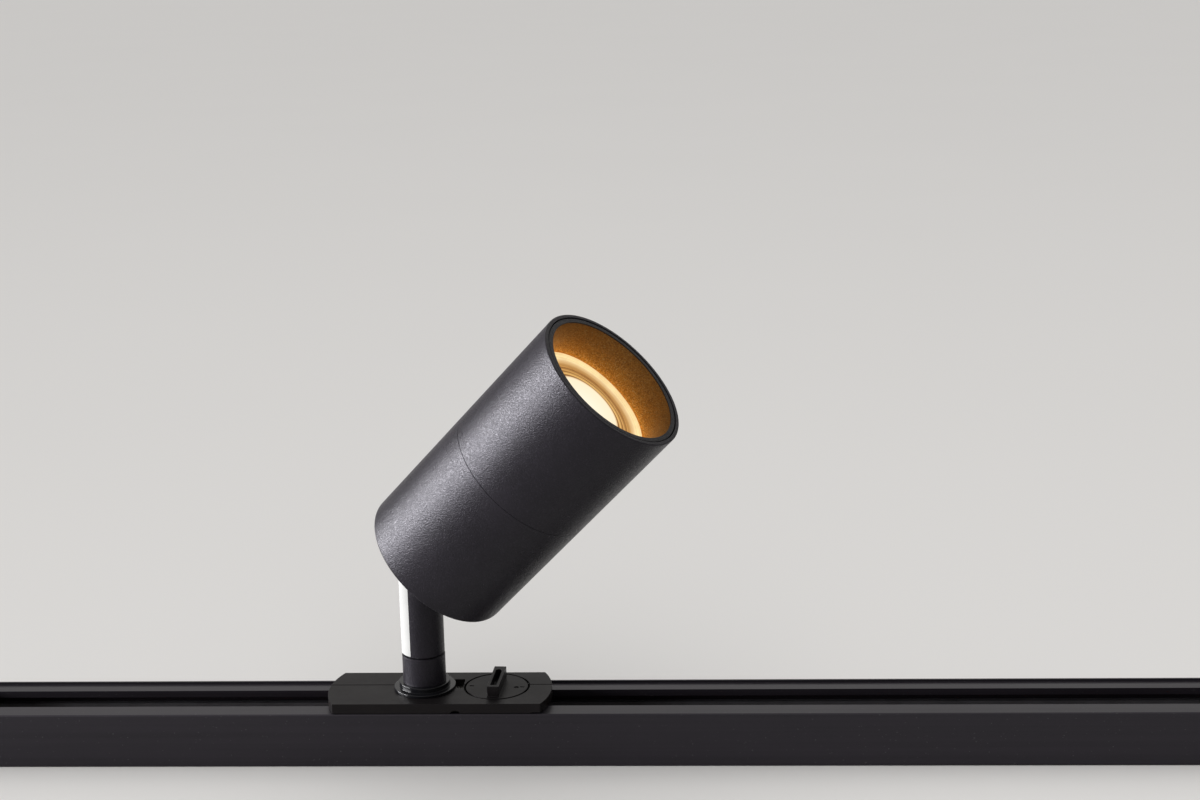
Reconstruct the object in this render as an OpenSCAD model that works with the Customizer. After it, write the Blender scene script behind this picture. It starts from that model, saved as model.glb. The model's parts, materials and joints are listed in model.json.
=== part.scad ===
// Track lighting fixture: a spotlight on a swivelling post, carried by an
// adapter that locks into a short length of surface track.
// X runs along the track, Z points up from its mounting face, millimetres.

/* [Track] */
// Length of the aluminium track
track_len = 500; // [400:10:1000]
// Width of the track over its side walls
track_w = 34.5; // [33:0.5:42]
// Height of the track from mounting face to lips
track_h = 21.4; // [20:0.2:26]
// Thickness of the track floor
track_floor = 3; // [2:0.5:4]
// Thickness of the lips beside the slot
lip_t = 2.7; // [2:0.1:3.5]
// Thickness of the track side walls
side_t = 3.7; // [3:0.1:4.5]
// Width of the slot between the lips
slot_w = 15; // [14.5:0.5:18]
// Sideways offset of the slot from the middle of the track
slot_y = -1.5; // [-2:0.5:0]
// Radius of the screw holes in the track floor
fix_r = 2.5; // [2:0.25:3]
// Distance between the two screw holes
fix_pitch = 400; // [300:10:900]
// Thickness of the insulating liners
liner_t = 2.6; // [2:0.1:3]
// Thickness of the copper conductors
copper_t = 1.2; // [0.8:0.1:1.6]
// Height of the copper conductors
copper_h = 4; // [3:0.5:5]

/* [Track ends] */
// Thickness of the dead end cap
cap_t = 3; // [2:0.5:5]
// Length of the live end box
live_len = 48; // [44:1:70]
// Wall of the live end box
live_wall = 2; // [1.5:0.25:3]
// Radius of the cable entry
entry_r = 4; // [3:0.5:5]

/* [Adapter] */
// Position of the post along the track
post_x = -65; // [-100:5:90]
// Length of the adapter plate along its long sides
plate_len = 79; // [76:1:100]
// Width of the adapter plate
plate_w = 31; // [29:0.5:38]
// Thickness of the adapter plate
plate_t = 3.9; // [3.5:0.1:5]
// How far each rounded end stands out
plate_bulge = 3.6; // [2:0.2:6]
// Distance from the post to the middle of the plate
plate_dx = 6.1; // [5:0.1:8]
// Distance of the shell joint from the middle of the track
seam_y = 1.9; // [0:0.1:3]
// Clearance between adapter and track
glide_gap = 0.2; // [0.1:0.05:0.4]
// Clearance between the adapter keel and the slot
slot_gap = 0.3; // [0.2:0.05:0.5]

/* [Lock] */
// Distance from the post to the lock
lock_dx = 27.8; // [25:0.1:32]
// Radius of the lock disc
disc_r = 12.3; // [10:0.1:12.8]
// Thickness of the lock disc
disc_t = 2; // [1.5:0.1:2.4]
// Length of the lock lever
lever_len = 20.4; // [16:0.2:23]
// Width of the lock lever
lever_w = 4.6; // [4:0.1:6]
// Height of the lock lever above the disc
lever_h = 4.1; // [3:0.1:6]
// Angle of the lever from square across the track
lever_turn = -3.5; // [-6:0.5:0]
// Radius of the rotor that hangs in the track
rotor_r = 5.2; // [4:0.1:5.4]
// Clearance around moving lock parts
lock_gap = 0.35; // [0.2:0.05:0.5]

/* [Post] */
// Radius of the post
post_r = 8.15; // [7.5:0.05:10]
// Height of the pivot above the adapter plate
pivot_rise = 44.3; // [43:0.1:60]
// Height of the fixed collar above its flange
collar_h = 11; // [9:0.5:13]
// Radius of the glossy flange
flange_r = 11.85; // [11:0.05:12.2]
// Height of the glossy flange
flange_h = 3.1; // [2.5:0.1:4]
// Radius of the hollow spindle
spindle_r = 4; // [3.5:0.1:4.4]
// Running clearance of the spindle in its bush
spindle_fit = 0.05; // [0.03:0.01:0.1]
// Gap between collar and turning post
turn_gap = 0.45; // [0.3:0.05:0.6]
// Direction of the head around the post
aim_pan = -22.5; // [-170:0.5:170]
// Lean of the head away from straight up
aim_tilt = 44.1; // [0:0.1:90]

/* [Head] */
// Radius of the head
head_r = 30; // [30:0.5:40]
// Length of the head
head_len = 105; // [103:1:160]
// Distance from pivot to the back of the head
head_back = 13.2; // [12.5:0.1:20]
// Length of the rear housing
rear_len = 53.2; // [48:0.2:60]
// Wall of the head tubes
head_wall = 1.5; // [1.2:0.1:2.5]
// Thickness of the back wall
back_wall = 3; // [2:0.5:5]
// Depth of the lip ring in the mouth
lip_ring_d = 3; // [2:0.2:5]
// Width of the lip ring
lip_ring_w = 1.85; // [1.4:0.05:2.5]
// Depth of the lamp face behind the mouth
lamp_depth = 14.4; // [12:0.2:25]
// Radius of the lamp
lamp_r = 25; // [20:0.5:25]
// Length of the lamp from face to pin tips
lamp_len = 54.8; // [50:0.2:58]

/* [Knuckle] */
// Thickness of the tongue in the knuckle
tongue_t = 6.4; // [5:0.2:7]
// Radius of the tongue eye
eye_r = 5.6; // [5:0.1:5.8]
// Radius of the knuckle bolt
bolt_r = 2; // [1.5:0.25:2.5]
// Thickness of each friction washer
washer_t = 0.5; // [0.3:0.1:0.8]

/* [Hidden] */
$fn = 96;
e = 0.01;
clear = 0.1;
half_len = track_len / 2;
cav_w = track_w - 2 * side_t;
lip_z = track_h - lip_t;
slot_front = slot_y - slot_w / 2;
slot_back = slot_y + slot_w / 2;
liner_in = cav_w / 2 - liner_t;
liner_z = track_floor + 4;
liner_h = copper_h + 3;
copper_z = liner_z + (liner_h - copper_h) / 2;
band_y = slot_back + 4.1;
band_drop = 0.6;
polarity_y = band_y + 2.9;

plate_z = track_h + glide_gap;
plate_top = plate_z + plate_t;
arc_r = pow(plate_w / 2, 2) / (2 * plate_bulge) + plate_bulge / 2;
keel_front = slot_front + slot_gap;
keel_back = slot_back - slot_gap;
keel_z = track_floor + 6;
keel_left = plate_dx - plate_len / 2 + 1;
keel_right = plate_dx + plate_len / 2 - 0.5;
keel_a_end = -post_r - 1;
keel_b_start = lock_dx + disc_r + lock_gap + 1.5;
keel_mid_z = (keel_z + plate_z) / 2;

recess_r = disc_r + lock_gap;
recess_z = plate_top - disc_t - 0.2;
hub_z = plate_z - 2.4;
tab_top = lip_z - 0.3;
tab_t = 2.2;
blade_t = 1;
blade_w = 4;
blade_z = copper_z + copper_h / 2 - blade_t / 2;
blade_reach = sqrt(pow(liner_in - lock_gap, 2) - pow(blade_w / 2, 2));
tab_w = 6;
tab_reach = sqrt(pow(liner_in - lock_gap, 2) - pow(tab_w / 2, 2));
rotor_z = blade_z - 2.5;

flange_top = plate_top + flange_h;
tail_r = post_r - 1.95;
tail_z = plate_z + 0.2;
clip_z = tail_z + 0.4;
clip_t = 0.8;
clip_r = tail_r + 1.2;
collar_top = flange_top + collar_h;
post_z = collar_top + turn_gap;
bush_r = spindle_r + 1.2;
bush_flange_r = bush_r + 1.4;
bush_flange_t = 0.6;
spindle_z = plate_z - 6.4;
spindle_top = post_z + 7;
nut_r = min(keel_back, spindle_r + 1.5);
washer_z = tail_z - 0.3 - 0.8;

pivot_z = plate_top + pivot_rise;
fork_half = tongue_t / 2 + washer_t + clear;
fork_gap = 0.5;
fork_floor = pivot_z - eye_r - fork_gap;
fork_back = -eye_r - fork_gap;
seat_y = post_r - 1.9;
bolt_head_r = bolt_r + 1.6;
insert_r = bolt_r + 0.9;
insert_end = post_r - 1.1;
label_t = 0.12;
label_z = post_z + 0.6;
label_from = 150;
label_to = 241;
way_r = spindle_r;

rear_top = head_back + rear_len;
head_top = head_back + head_len;
seam_w = 0.08;
seam_c = 0.1;
head_in = head_r - head_wall;
back_in = head_back + back_wall;
ring_in_z = rear_top - 8;
ring_len = 16.25;
lip_out = head_in - 0.25;
lip_in = lip_out - lip_ring_w;
lip_z0 = head_top - 0.2 - lip_ring_d;
cup_t = 0.9;
cup_floor_r = lamp_r + 0.3;
lamp_face = head_top - lamp_depth;
lamp_rim_t = 2.4;
lamp_back = lamp_face - lamp_len;
pin_len = 7;
base_z = lamp_back + pin_len;
base_len = 10;
base_r = 9.5;
neck_z = base_z + base_len;
holder_r = 13;
holder_len = 19;
holder_z = base_z - 0.1 - holder_len;
pin_pitch = 10;
strap_t = 1.2;
strap_w = 10;
strap_x = 10.5;
foot_len = 7;
foot_x = strap_x + foot_len - 3;
stub_r = 5;
stub_nut_t = 3;
flange_tongue_r = 10;
flange_tongue_t = 2.4;
wire_r = 1.05;
wire_dx = 1.4;

// ---- helpers ----

module along_x(x0, len) {
    translate([x0, 0, 0])
        rotate([90, 0, 90])
            linear_extrude(len)
                children();
}

module tube(r_out, r_in, h) {
    difference() {
        cylinder(r = r_out, h = h);
        translate([0, 0, -1])
            cylinder(r = r_in, h = h + 2);
    }
}

// A box from its lowest corner to its highest corner.
module block(a, b) {
    translate(a)
        cube([b[0] - a[0], b[1] - a[1], b[2] - a[2]]);
}

// A pan head screw with its tip down; the head sits on z = 0.
module screw(r, len, head, head_h) {
    difference() {
        union() {
            translate([0, 0, -len])
                cylinder(r = r, h = len + e);
            cylinder(r1 = head, r2 = head - 0.3, h = head_h);
        }
        for (a = [0, 90])
            rotate([0, 0, a])
                translate([-head * 0.55, -0.3, head_h - 0.6])
                    cube([head * 1.1, 0.6, 1]);
    }
}

module at_post() {
    translate([post_x, 0, 0])
        children();
}

module at_lock() {
    translate([post_x + lock_dx, 0, 0])
        rotate([0, 0, lever_turn])
            children();
}

// The frame that turns with the post.
module at_pan() {
    translate([post_x, 0, 0])
        rotate([0, 0, aim_pan])
            children();
}

// The frame of the head: origin on the pivot, z along the light beam.
module at_head() {
    translate([post_x, 0, pivot_z])
        rotate([0, 0, aim_pan])
            rotate([0, aim_tilt, 0])
                children();
}

// ---- track ----

module track_profile() {
    c = 0.45;
    difference() {
        polygon([
            [-track_w / 2 + c, 0], [track_w / 2 - c, 0], [track_w / 2, c],
            [track_w / 2, track_h - c], [track_w / 2 - c, track_h],
            [-track_w / 2 + c, track_h], [-track_w / 2, track_h - c], [-track_w / 2, c]
        ]);
        translate([-cav_w / 2, track_floor])
            square([cav_w, lip_z - track_floor]);
        translate([slot_front, track_floor])
            square([slot_w, track_h]);
        translate([band_y, track_h - band_drop])
            square([track_w, track_h]);
        translate([polarity_y, track_h - band_drop - 0.5])
            square([0.6, track_h]);
        for (s = [-1, 1])
            translate([s * track_w / 4 - 2, -e])
                square([4, 0.5]);
    }
}

module track_extrusion() {
    color("dimgray")
        difference() {
            along_x(-half_len, track_len)
                track_profile();
            for (s = [-1, 1])
                translate([s * fix_pitch / 2, 0, -1])
                    cylinder(r = fix_r, h = track_floor + 2);
            translate([-half_len + 5, slot_y, -1])
                cylinder(r = 1.2, h = track_floor + 2);
        }
}

module liner(side) {
    color("black")
        along_x(-half_len, track_len)
            scale([side, 1])
                difference() {
                    translate([liner_in, liner_z])
                        square([liner_t, liner_h]);
                    translate([liner_in - 1, copper_z])
                        square([copper_t + 1, copper_h]);
                }
}

module conductor(side) {
    color("peru")
        along_x(-half_len, track_len)
            scale([side, 1])
                translate([liner_in, copper_z])
                    square([copper_t, copper_h]);
}

module end_cap() {
    color("black")
        difference() {
            union() {
                along_x(-half_len - cap_t, cap_t)
                    polygon([
                        [-track_w / 2, 0], [track_w / 2, 0], [track_w / 2, track_h - 1],
                        [track_w / 2 - 1, track_h], [-track_w / 2 + 1, track_h],
                        [-track_w / 2, track_h - 1]
                    ]);
                block([-half_len - e, slot_front + clear, track_floor],
                      [-half_len + 9, slot_back - clear, track_h]);
            }
            translate([-half_len + 5, slot_y, -1])
                cylinder(r = 1.5, h = track_h + 2);
            translate([-half_len + 5, slot_y, track_h - 2.2])
                cylinder(r = 3, h = 3);
        }
}

module end_cap_screw() {
    color("silver")
        translate([-half_len + 5, slot_y, track_h - 2.2])
            screw(1.2, track_h - 2.2 - 0.6, 2.6, 1.6);
}

// ---- live end ----

module live_end_box() {
    x0 = half_len;
    x1 = half_len + live_len;
    color("black")
        difference() {
            union() {
                block([x0, -track_w / 2, 0], [x1, track_w / 2, track_h - live_wall]);
                block([x0 - 10, -liner_in + 1.2, track_floor],
                      [x0 + e, liner_in - 1.2, lip_z - clear]);
            }
            block([x0 + live_wall, -track_w / 2 + live_wall, live_wall],
                  [x1 - live_wall, track_w / 2 - live_wall, track_h]);
            for (s = [-1, 1])
                block([x0 - 1, s > 0 ? liner_in - 0.8 : -liner_in, copper_z],
                      [x0 + live_wall + 1, s > 0 ? liner_in : -liner_in + 0.8,
                       copper_z + copper_h]);
            translate([x1 - live_wall - 1, 0, track_h / 2 - 0.5])
                rotate([0, 90, 0])
                    cylinder(r = entry_r, h = live_wall + 2);
        }
}

module cover_posts(r, z0, z1) {
    for (s = [-1, 1])
        translate([half_len + live_len - live_wall - 4, s * (track_w / 2 - live_wall - 3.4), z0])
            cylinder(r = r, h = z1 - z0);
}

module live_end_cover() {
    color("black")
        difference() {
            union() {
                block([half_len, -track_w / 2, track_h - live_wall],
                      [half_len + live_len, track_w / 2, track_h]);
                cover_posts(3, live_wall, track_h - live_wall + e);
            }
            cover_posts(1.3, track_h - 9, track_h + 1);
            cover_posts(2.6, track_h - 1.2, track_h + 1);
        }
}

module cover_screws() {
    color("silver")
        for (s = [-1, 1])
            translate([half_len + live_len - live_wall - 4,
                       s * (track_w / 2 - live_wall - 3.4), track_h - 1.2])
                screw(1.2, 7, 2.3, 1.1);
}

module live_terminal() {
    x0 = half_len + live_wall + 12;
    color("white")
        difference() {
            block([x0, -liner_in - 1.5, live_wall], [x0 + 10, liner_in + 1.5, live_wall + 13]);
            for (s = [-1, 0, 1]) {
                translate([x0 + 5, s * (liner_in - 2.4), live_wall + 7])
                    cylinder(r = 1.6, h = 8);
                translate([x0 + 6.5, s * (liner_in - 2.4), live_wall + 6])
                    rotate([0, 90, 0])
                        cylinder(r = 1.5, h = 6);
            }
            for (s = [-1, 1])
                block([x0 - 1, s > 0 ? liner_in - 0.8 : -liner_in, copper_z],
                      [x0 + 3, s > 0 ? liner_in : -liner_in + 0.8, copper_z + copper_h]);
        }
}

module terminal_screws() {
    color("silver")
        for (s = [-1, 0, 1])
            translate([half_len + live_wall + 17, s * (liner_in - 2.4), live_wall + 11])
                screw(1.4, 4, 1.55, 1);
}

module live_tongues() {
    color("goldenrod")
        for (s = [-1, 1])
            block([half_len - 12, s > 0 ? liner_in - 0.8 : -liner_in, copper_z],
                  [half_len + live_wall + 15, s > 0 ? liner_in : -liner_in + 0.8,
                   copper_z + copper_h]);
}

// ---- adapter ----

module plate_shape() {
    mid = slot_y;
    translate([plate_dx, mid]) {
        square([plate_len, plate_w], center = true);
        for (s = [-1, 1])
            intersection() {
                translate([s * (plate_len / 2 + plate_bulge - arc_r), 0])
                    circle(r = arc_r, $fn = 180);
                square([plate_len + 3 * plate_bulge, plate_w], center = true);
            }
    }
}

// The whole adapter moulding before it is split along the seam.
module adapter_body() {
    difference() {
        union() {
            translate([0, 0, plate_z])
                linear_extrude(plate_t)
                    plate_shape();
            block([keel_left, keel_front, keel_z], [keel_a_end, keel_back, plate_z + e]);
            block([keel_b_start, keel_front, keel_z], [keel_right, keel_back, plate_z + e]);
        }
        // seat of the collar and room for its clip
        translate([0, 0, plate_z - 1])
            cylinder(r = tail_r + clear, h = plate_t + 2);
        translate([0, 0, plate_z - 1])
            cylinder(r = clip_r + clear, h = clip_z + clip_t - plate_z + 1);
        // recess of the lock disc and bore of its hub
        translate([lock_dx, 0, recess_z])
            cylinder(r = recess_r, h = disc_t + 2);
        translate([lock_dx, 0, plate_z - 1])
            cylinder(r = rotor_r + lock_gap, h = plate_t + 2);
        // window of the detent leaf
        block([flange_r - 1.3, -1.5, plate_z + 0.9],
              [lock_dx - recess_r - 0.4, 7, plate_top + 1]);
        // nicks in the lower front edge
        translate([lock_dx - recess_r - 1.8, slot_y - plate_w / 2, plate_z - 0.9])
            rotate([90, 0, 0])
                cylinder(r = 2.1, h = 3, center = true);
        block([plate_dx + plate_len / 2 - 3.5, slot_y - plate_w / 2 - 1, plate_z - 1],
              [plate_dx + plate_len / 2 + 1, slot_y - plate_w / 2 + 2, plate_z + 0.35]);
        // screws across the seam
        for (x = [keel_left + 9, (keel_b_start + keel_right) / 2])
            translate([x, 0, keel_mid_z])
                rotate([90, 0, 0]) {
                    translate([0, 0, -keel_back + 1])
                        cylinder(r = 1, h = slot_w);
                    translate([0, 0, -keel_front - 1.6])
                        cylinder(r = 1.9, h = 3);
                }
    }
}

module adapter_front_shell() {
    color("black")
        at_post()
            difference() {
                adapter_body();
                block([-track_len, seam_y, -1], [track_len, track_w, plate_top + 5]);
                block([-track_len, seam_y - 0.3, plate_top - 0.5],
                      [track_len, seam_y + 1, plate_top + 5]);
            }
}

module adapter_back_shell() {
    color("black")
        at_post()
            difference() {
                adapter_body();
                block([-track_len, -track_w, -1], [track_len, seam_y, plate_top + 5]);
            }
}

module shell_screws() {
    color("silver")
        at_post()
            for (x = [keel_left + 9, (keel_b_start + keel_right) / 2])
                translate([x, keel_front + 1.6, keel_mid_z])
                    rotate([90, 0, 0])
                        screw(1, keel_back - keel_front - 3.2, 1.8, 1.3);
}

module detent_leaf() {
    color("silver")
        at_post()
            block([flange_r - 1.3, -1.3, plate_z + 0.9],
                  [lock_dx - recess_r - 0.4, 6.8, plate_z + 1.3]);
}

module earth_spring() {
    y0 = slot_y - 2.5;
    color("goldenrod")
        at_post()
            translate([0, y0 + 5, 0])
                rotate([90, 0, 0])
                    linear_extrude(5)
                        polygon([
                            [keel_left + 3, keel_z], [keel_a_end - 3, keel_z],
                            [keel_a_end - 3, keel_z - 0.5], [keel_left + 14, keel_z - 0.5],
                            [keel_left + 10, track_floor + 0.3], [keel_left + 7, track_floor + 0.3],
                            [keel_left + 7, track_floor + 0.8], [keel_left + 9.6, track_floor + 0.8],
                            [keel_left + 12, keel_z - 0.5], [keel_left + 3, keel_z - 0.5]
                        ]);
}

module link_leads() {
    color("firebrick")
        at_post()
            for (s = [-1, 1])
                translate([nut_r + 1, s * 1.5, plate_z - wire_r])
                    rotate([0, 90, 0])
                        cylinder(r = wire_r, h = lock_dx - rotor_r - nut_r - 1.6, $fn = 24);
}

module flange_ring() {
    bore = tail_r + clear;
    rim_h = 1.05;
    step_r = flange_r - 2.05;
    color("black")
        at_post()
            translate([0, 0, plate_top])
                rotate_extrude()
                    polygon([
                        [bore, 0], [flange_r - 0.15, 0], [flange_r, 0.15],
                        [flange_r, rim_h - 0.35], [flange_r - 0.1, rim_h - 0.1],
                        [flange_r - 0.35, rim_h], [step_r + 0.3, rim_h + 0.05],
                        [step_r, rim_h + 0.35], [step_r, flange_h - 0.4],
                        [step_r - 0.12, flange_h - 0.12], [step_r - 0.4, flange_h],
                        [bore, flange_h]
                    ]);
}

module swivel_collar() {
    r = post_r + 0.1;
    color("black")
        at_post()
            rotate_extrude()
                polygon([
                    [bush_r, tail_z], [tail_r, tail_z], [tail_r, clip_z],
                    [tail_r - 0.6, clip_z], [tail_r - 0.6, clip_z + clip_t],
                    [tail_r, clip_z + clip_t], [tail_r, flange_top], [r, flange_top],
                    [r, collar_top - 0.3], [r - 0.3, collar_top],
                    [bush_flange_r, collar_top],
                    [bush_flange_r, collar_top - bush_flange_t],
                    [bush_r, collar_top - bush_flange_t]
                ]);
}

module collar_clip() {
    color("silver")
        at_post()
            translate([0, 0, clip_z])
                difference() {
                    tube(clip_r, tail_r - 0.6, clip_t);
                    block([-clip_r - 1, -1.5, -1], [-1, 1.5, clip_t + 1]);
                }
}

module swivel_bush() {
    color("ivory")
        at_post()
            rotate_extrude()
                polygon([
                    [spindle_r + spindle_fit, tail_z], [bush_r, tail_z],
                    [bush_r, collar_top - bush_flange_t],
                    [bush_flange_r, collar_top - bush_flange_t],
                    [bush_flange_r, collar_top], [spindle_r + spindle_fit, collar_top]
                ]);
}

// ---- lock ----

module lock_knob() {
    slot_len = lever_len - 5;
    color("black")
        at_lock() {
            difference() {
                union() {
                    translate([0, 0, plate_top - disc_t])
                        cylinder(r = disc_r, h = disc_t);
                    translate([0, 0, hub_z])
                        cylinder(r = rotor_r, h = plate_top - disc_t - hub_z + e);
                    block([-lever_w / 2, -lever_len / 2, plate_top - e],
                          [lever_w / 2, lever_len / 2, plate_top + lever_h]);
                }
                block([-lever_w / 4, -lever_len / 2 + 1.9, plate_top + 1],
                      [lever_w / 4, lever_len / 2 - 3.1 - lever_w / 4, plate_top + lever_h + 1]);
                translate([0, lever_len / 2 - 3.1 - lever_w / 4, plate_top + 1])
                    cylinder(r = lever_w / 4, h = lever_h);
                translate([disc_r * 0.62, -0.6, plate_top - 0.35])
                    cylinder(r = 0.9, h = 1);
                for (s = [-1, 1])
                    translate([s * disc_r * 0.8, 0, plate_top - 0.3])
                        cube([1.6, 0.5, 1], center = true);
                translate([0, 0, hub_z - 1])
                    cylinder(r = 1.2, h = plate_top - hub_z - disc_t);
            }
        }
}

module lock_rotor() {
    color("gainsboro")
        at_lock()
            difference() {
                translate([0, 0, rotor_z])
                    cylinder(r = rotor_r, h = hub_z - rotor_z);
                block([-tab_w / 2, -rotor_r - 1, tab_top - tab_t],
                      [tab_w / 2, rotor_r + 1, tab_top]);
                block([-blade_w / 2, -rotor_r - 1, blade_z],
                      [blade_w / 2, rotor_r + 1, blade_z + blade_t]);
                translate([0, 0, rotor_z - 1])
                    cylinder(r = 1.5, h = hub_z - rotor_z + 2);
            }
}

module lock_tabs() {
    color("silver")
        at_lock()
            difference() {
                block([-tab_w / 2, -tab_reach, tab_top - tab_t],
                      [tab_w / 2, tab_reach, tab_top]);
                translate([0, 0, tab_top - tab_t - 1])
                    cylinder(r = 1.5, h = tab_t + 2);
            }
}

module contact_blades() {
    color("goldenrod")
        at_lock()
            for (s = [-1, 1])
                block([-blade_w / 2, s > 0 ? 2.2 : -blade_reach, blade_z],
                      [blade_w / 2, s > 0 ? blade_reach : -2.2, blade_z + blade_t]);
}

module rotor_screw() {
    color("silver")
        at_lock()
            translate([0, 0, rotor_z])
                rotate([180, 0, 0])
                    screw(1.1, plate_top - disc_t - 1.5 - rotor_z, 2.4, 1.2);
}

// ---- post ----

module spindle() {
    color("silver")
        at_pan()
            translate([0, 0, spindle_z])
                tube(spindle_r, spindle_r - 1.2, spindle_top - spindle_z);
}

module thrust_washer() {
    color("silver")
        at_pan()
            translate([0, 0, washer_z])
                tube(nut_r, spindle_r + clear / 2, 0.8);
}

module ring_nut() {
    color("silver")
        at_pan()
            translate([0, 0, washer_z - 3])
                difference() {
                    tube(nut_r, spindle_r, 3);
                    for (a = [0, 90])
                        rotate([0, 0, a])
                            block([-nut_r - 1, -0.8, -1], [nut_r + 1, 0.8, 0.9]);
                }
}

module post_tube() {
    color("black")
        at_pan()
            difference() {
                union() {
                    translate([0, 0, post_z])
                        cylinder(r1 = post_r - 0.3, r2 = post_r, h = 0.3);
                    translate([0, 0, post_z + 0.3])
                        cylinder(r = post_r, h = pivot_z - post_z - 0.3);
                    intersection() {
                        translate([0, 0, pivot_z - 1])
                            cylinder(r = post_r, h = post_r + 1);
                        translate([0, 0, pivot_z])
                            rotate([90, 0, 0])
                                cylinder(r = post_r, h = 2 * post_r + 2, center = true);
                    }
                }
                // fork for the tongue, closed at the back
                block([fork_back, -fork_half, fork_floor],
                      [post_r + 1, fork_half, pivot_z + post_r + 1]);
                // wire way and spindle socket
                translate([0, 0, spindle_top])
                    cylinder(r = way_r, h = fork_floor - spindle_top + 1);
                translate([0, 0, post_z - 1])
                    cylinder(r = spindle_r, h = spindle_top - post_z + 1);
                // bolt bore and head seat in one cheek, insert pocket in the other
                translate([0, 0, pivot_z])
                    rotate([-90, 0, 0]) {
                        cylinder(r = bolt_r + clear / 2, h = 2 * post_r);
                        translate([0, 0, seat_y])
                            cylinder(r = bolt_head_r + clear, h = post_r);
                        translate([0, 0, -insert_end])
                            cylinder(r = insert_r, h = insert_end);
                    }
            }
}

// A blank paper label wrapped part of the way round the post.
module post_label() {
    far = 3 * post_r;
    steps = 6;
    color("white")
        at_post()
            translate([0, 0, label_z])
                intersection() {
                    tube(post_r + label_t, post_r, pivot_z + 2 - label_z);
                    translate([0, 0, -1])
                        linear_extrude(pivot_z)
                            polygon(concat(
                                [[0, 0]],
                                [for (i = [0:steps])
                                    let (a = label_from + (label_to - label_from) * i / steps)
                                        far * [cos(a), sin(a)]]
                            ));
                }
}

module post_wires() {
    color("firebrick")
        at_pan()
            for (s = [-1, 1])
                translate([s * wire_dx, 0, spindle_z - 0.5])
                    cylinder(r = wire_r, h = fork_floor - spindle_z - 0.5, $fn = 24);
}

// ---- knuckle ----

module knuckle_bolt() {
    head_h = 1.6;
    color("dimgray")
        at_pan()
            translate([0, 0, pivot_z])
                rotate([-90, 0, 0])
                    difference() {
                        union() {
                            translate([0, 0, 0.3 - insert_end])
                                cylinder(r = bolt_r, h = insert_end + seat_y);
                            translate([0, 0, seat_y])
                                cylinder(r = bolt_head_r, h = head_h);
                        }
                        translate([0, 0, seat_y + head_h - 1])
                            cylinder(r = 1.2, h = 2, $fn = 6);
                    }
}

module pivot_insert() {
    color("goldenrod")
        at_pan()
            translate([0, 0, pivot_z])
                rotate([-90, 0, 0])
                    translate([0, 0, -insert_end])
                        tube(insert_r, bolt_r, insert_end - fork_half);
}

module knuckle_washers() {
    color("silver")
        at_pan()
            translate([0, 0, pivot_z])
                rotate([90, 0, 0])
                    for (s = [-1, 1])
                        translate([0, 0, s > 0 ? fork_half - washer_t : -fork_half])
                            tube(eye_r - 1, bolt_r + clear / 2, washer_t);
}

module knuckle_tongue() {
    fz = head_back - flange_tongue_t;
    color("black")
        at_head()
            difference() {
                union() {
                    rotate([90, 0, 0])
                        cylinder(r = eye_r, h = tongue_t, center = true);
                    intersection() {
                        cylinder(r = eye_r - 0.4, h = fz + e);
                        block([-eye_r, -tongue_t / 2, 0], [eye_r, tongue_t / 2, fz + 1]);
                    }
                    translate([0, 0, fz])
                        cylinder(r = flange_tongue_r, h = flange_tongue_t);
                    translate([0, 0, head_back - e])
                        cylinder(r = stub_r, h = back_wall + stub_nut_t + 2);
                }
                rotate([90, 0, 0])
                    cylinder(r = bolt_r + spindle_fit, h = tongue_t + 2, center = true);
                translate([0, 0, bolt_r + 1.4])
                    cylinder(r = 2.6, h = head_back + back_wall + stub_nut_t + 3);
            }
}

module tongue_nut() {
    color("silver")
        at_head()
            translate([0, 0, back_in])
                difference() {
                    cylinder(r = stub_r + 2.8, h = stub_nut_t, $fn = 6);
                    translate([0, 0, -1])
                        cylinder(r = stub_r, h = stub_nut_t + 2);
                }
}

// ---- head ----

module rear_housing() {
    c = 0.5;
    color("black")
        at_head()
            difference() {
                rotate_extrude($fn = 180)
                    polygon([
                        [0, head_back], [head_r - c, head_back], [head_r - c * 0.3, head_back + c * 0.3],
                        [head_r, head_back + c], [head_r, rear_top - seam_c], [head_r - seam_c, rear_top],
                        [head_in, rear_top], [head_in, back_in], [0, back_in]
                    ]);
                translate([0, 0, head_back - 1])
                    cylinder(r = stub_r, h = back_wall + 2);
                for (s = [-1, 1])
                    translate([s * foot_x, 0, head_back + 0.8])
                        cylinder(r = 1.2, h = back_wall);
            }
}

module coupling_ring() {
    color("silver")
        at_head()
            translate([0, 0, ring_in_z])
                tube(head_in, head_in - 1.6, ring_len);
}

module front_tube() {
    z0 = rear_top + seam_w;
    color("black")
        at_head()
            rotate_extrude($fn = 180)
                polygon([
                    [head_in, z0], [head_r - seam_c, z0], [head_r, z0 + seam_c],
                    [head_r, head_top - 0.35], [head_r - 0.12, head_top - 0.1],
                    [head_r - 0.35, head_top], [head_in, head_top]
                ]);
}

module lip_ring() {
    color("black")
        at_head()
            translate([0, 0, lip_z0])
                rotate_extrude($fn = 180)
                    polygon([
                        [lip_in, 0], [lip_out + 0.25, 0], [lip_out + 0.25, lip_ring_d - 1.4],
                        [lip_out, lip_ring_d - 1.4], [lip_out, lip_ring_d - 0.3],
                        [lip_out - 0.3, lip_ring_d], [lip_in + 0.4, lip_ring_d],
                        [lip_in, lip_ring_d - 0.4]
                    ]);
}

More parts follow.
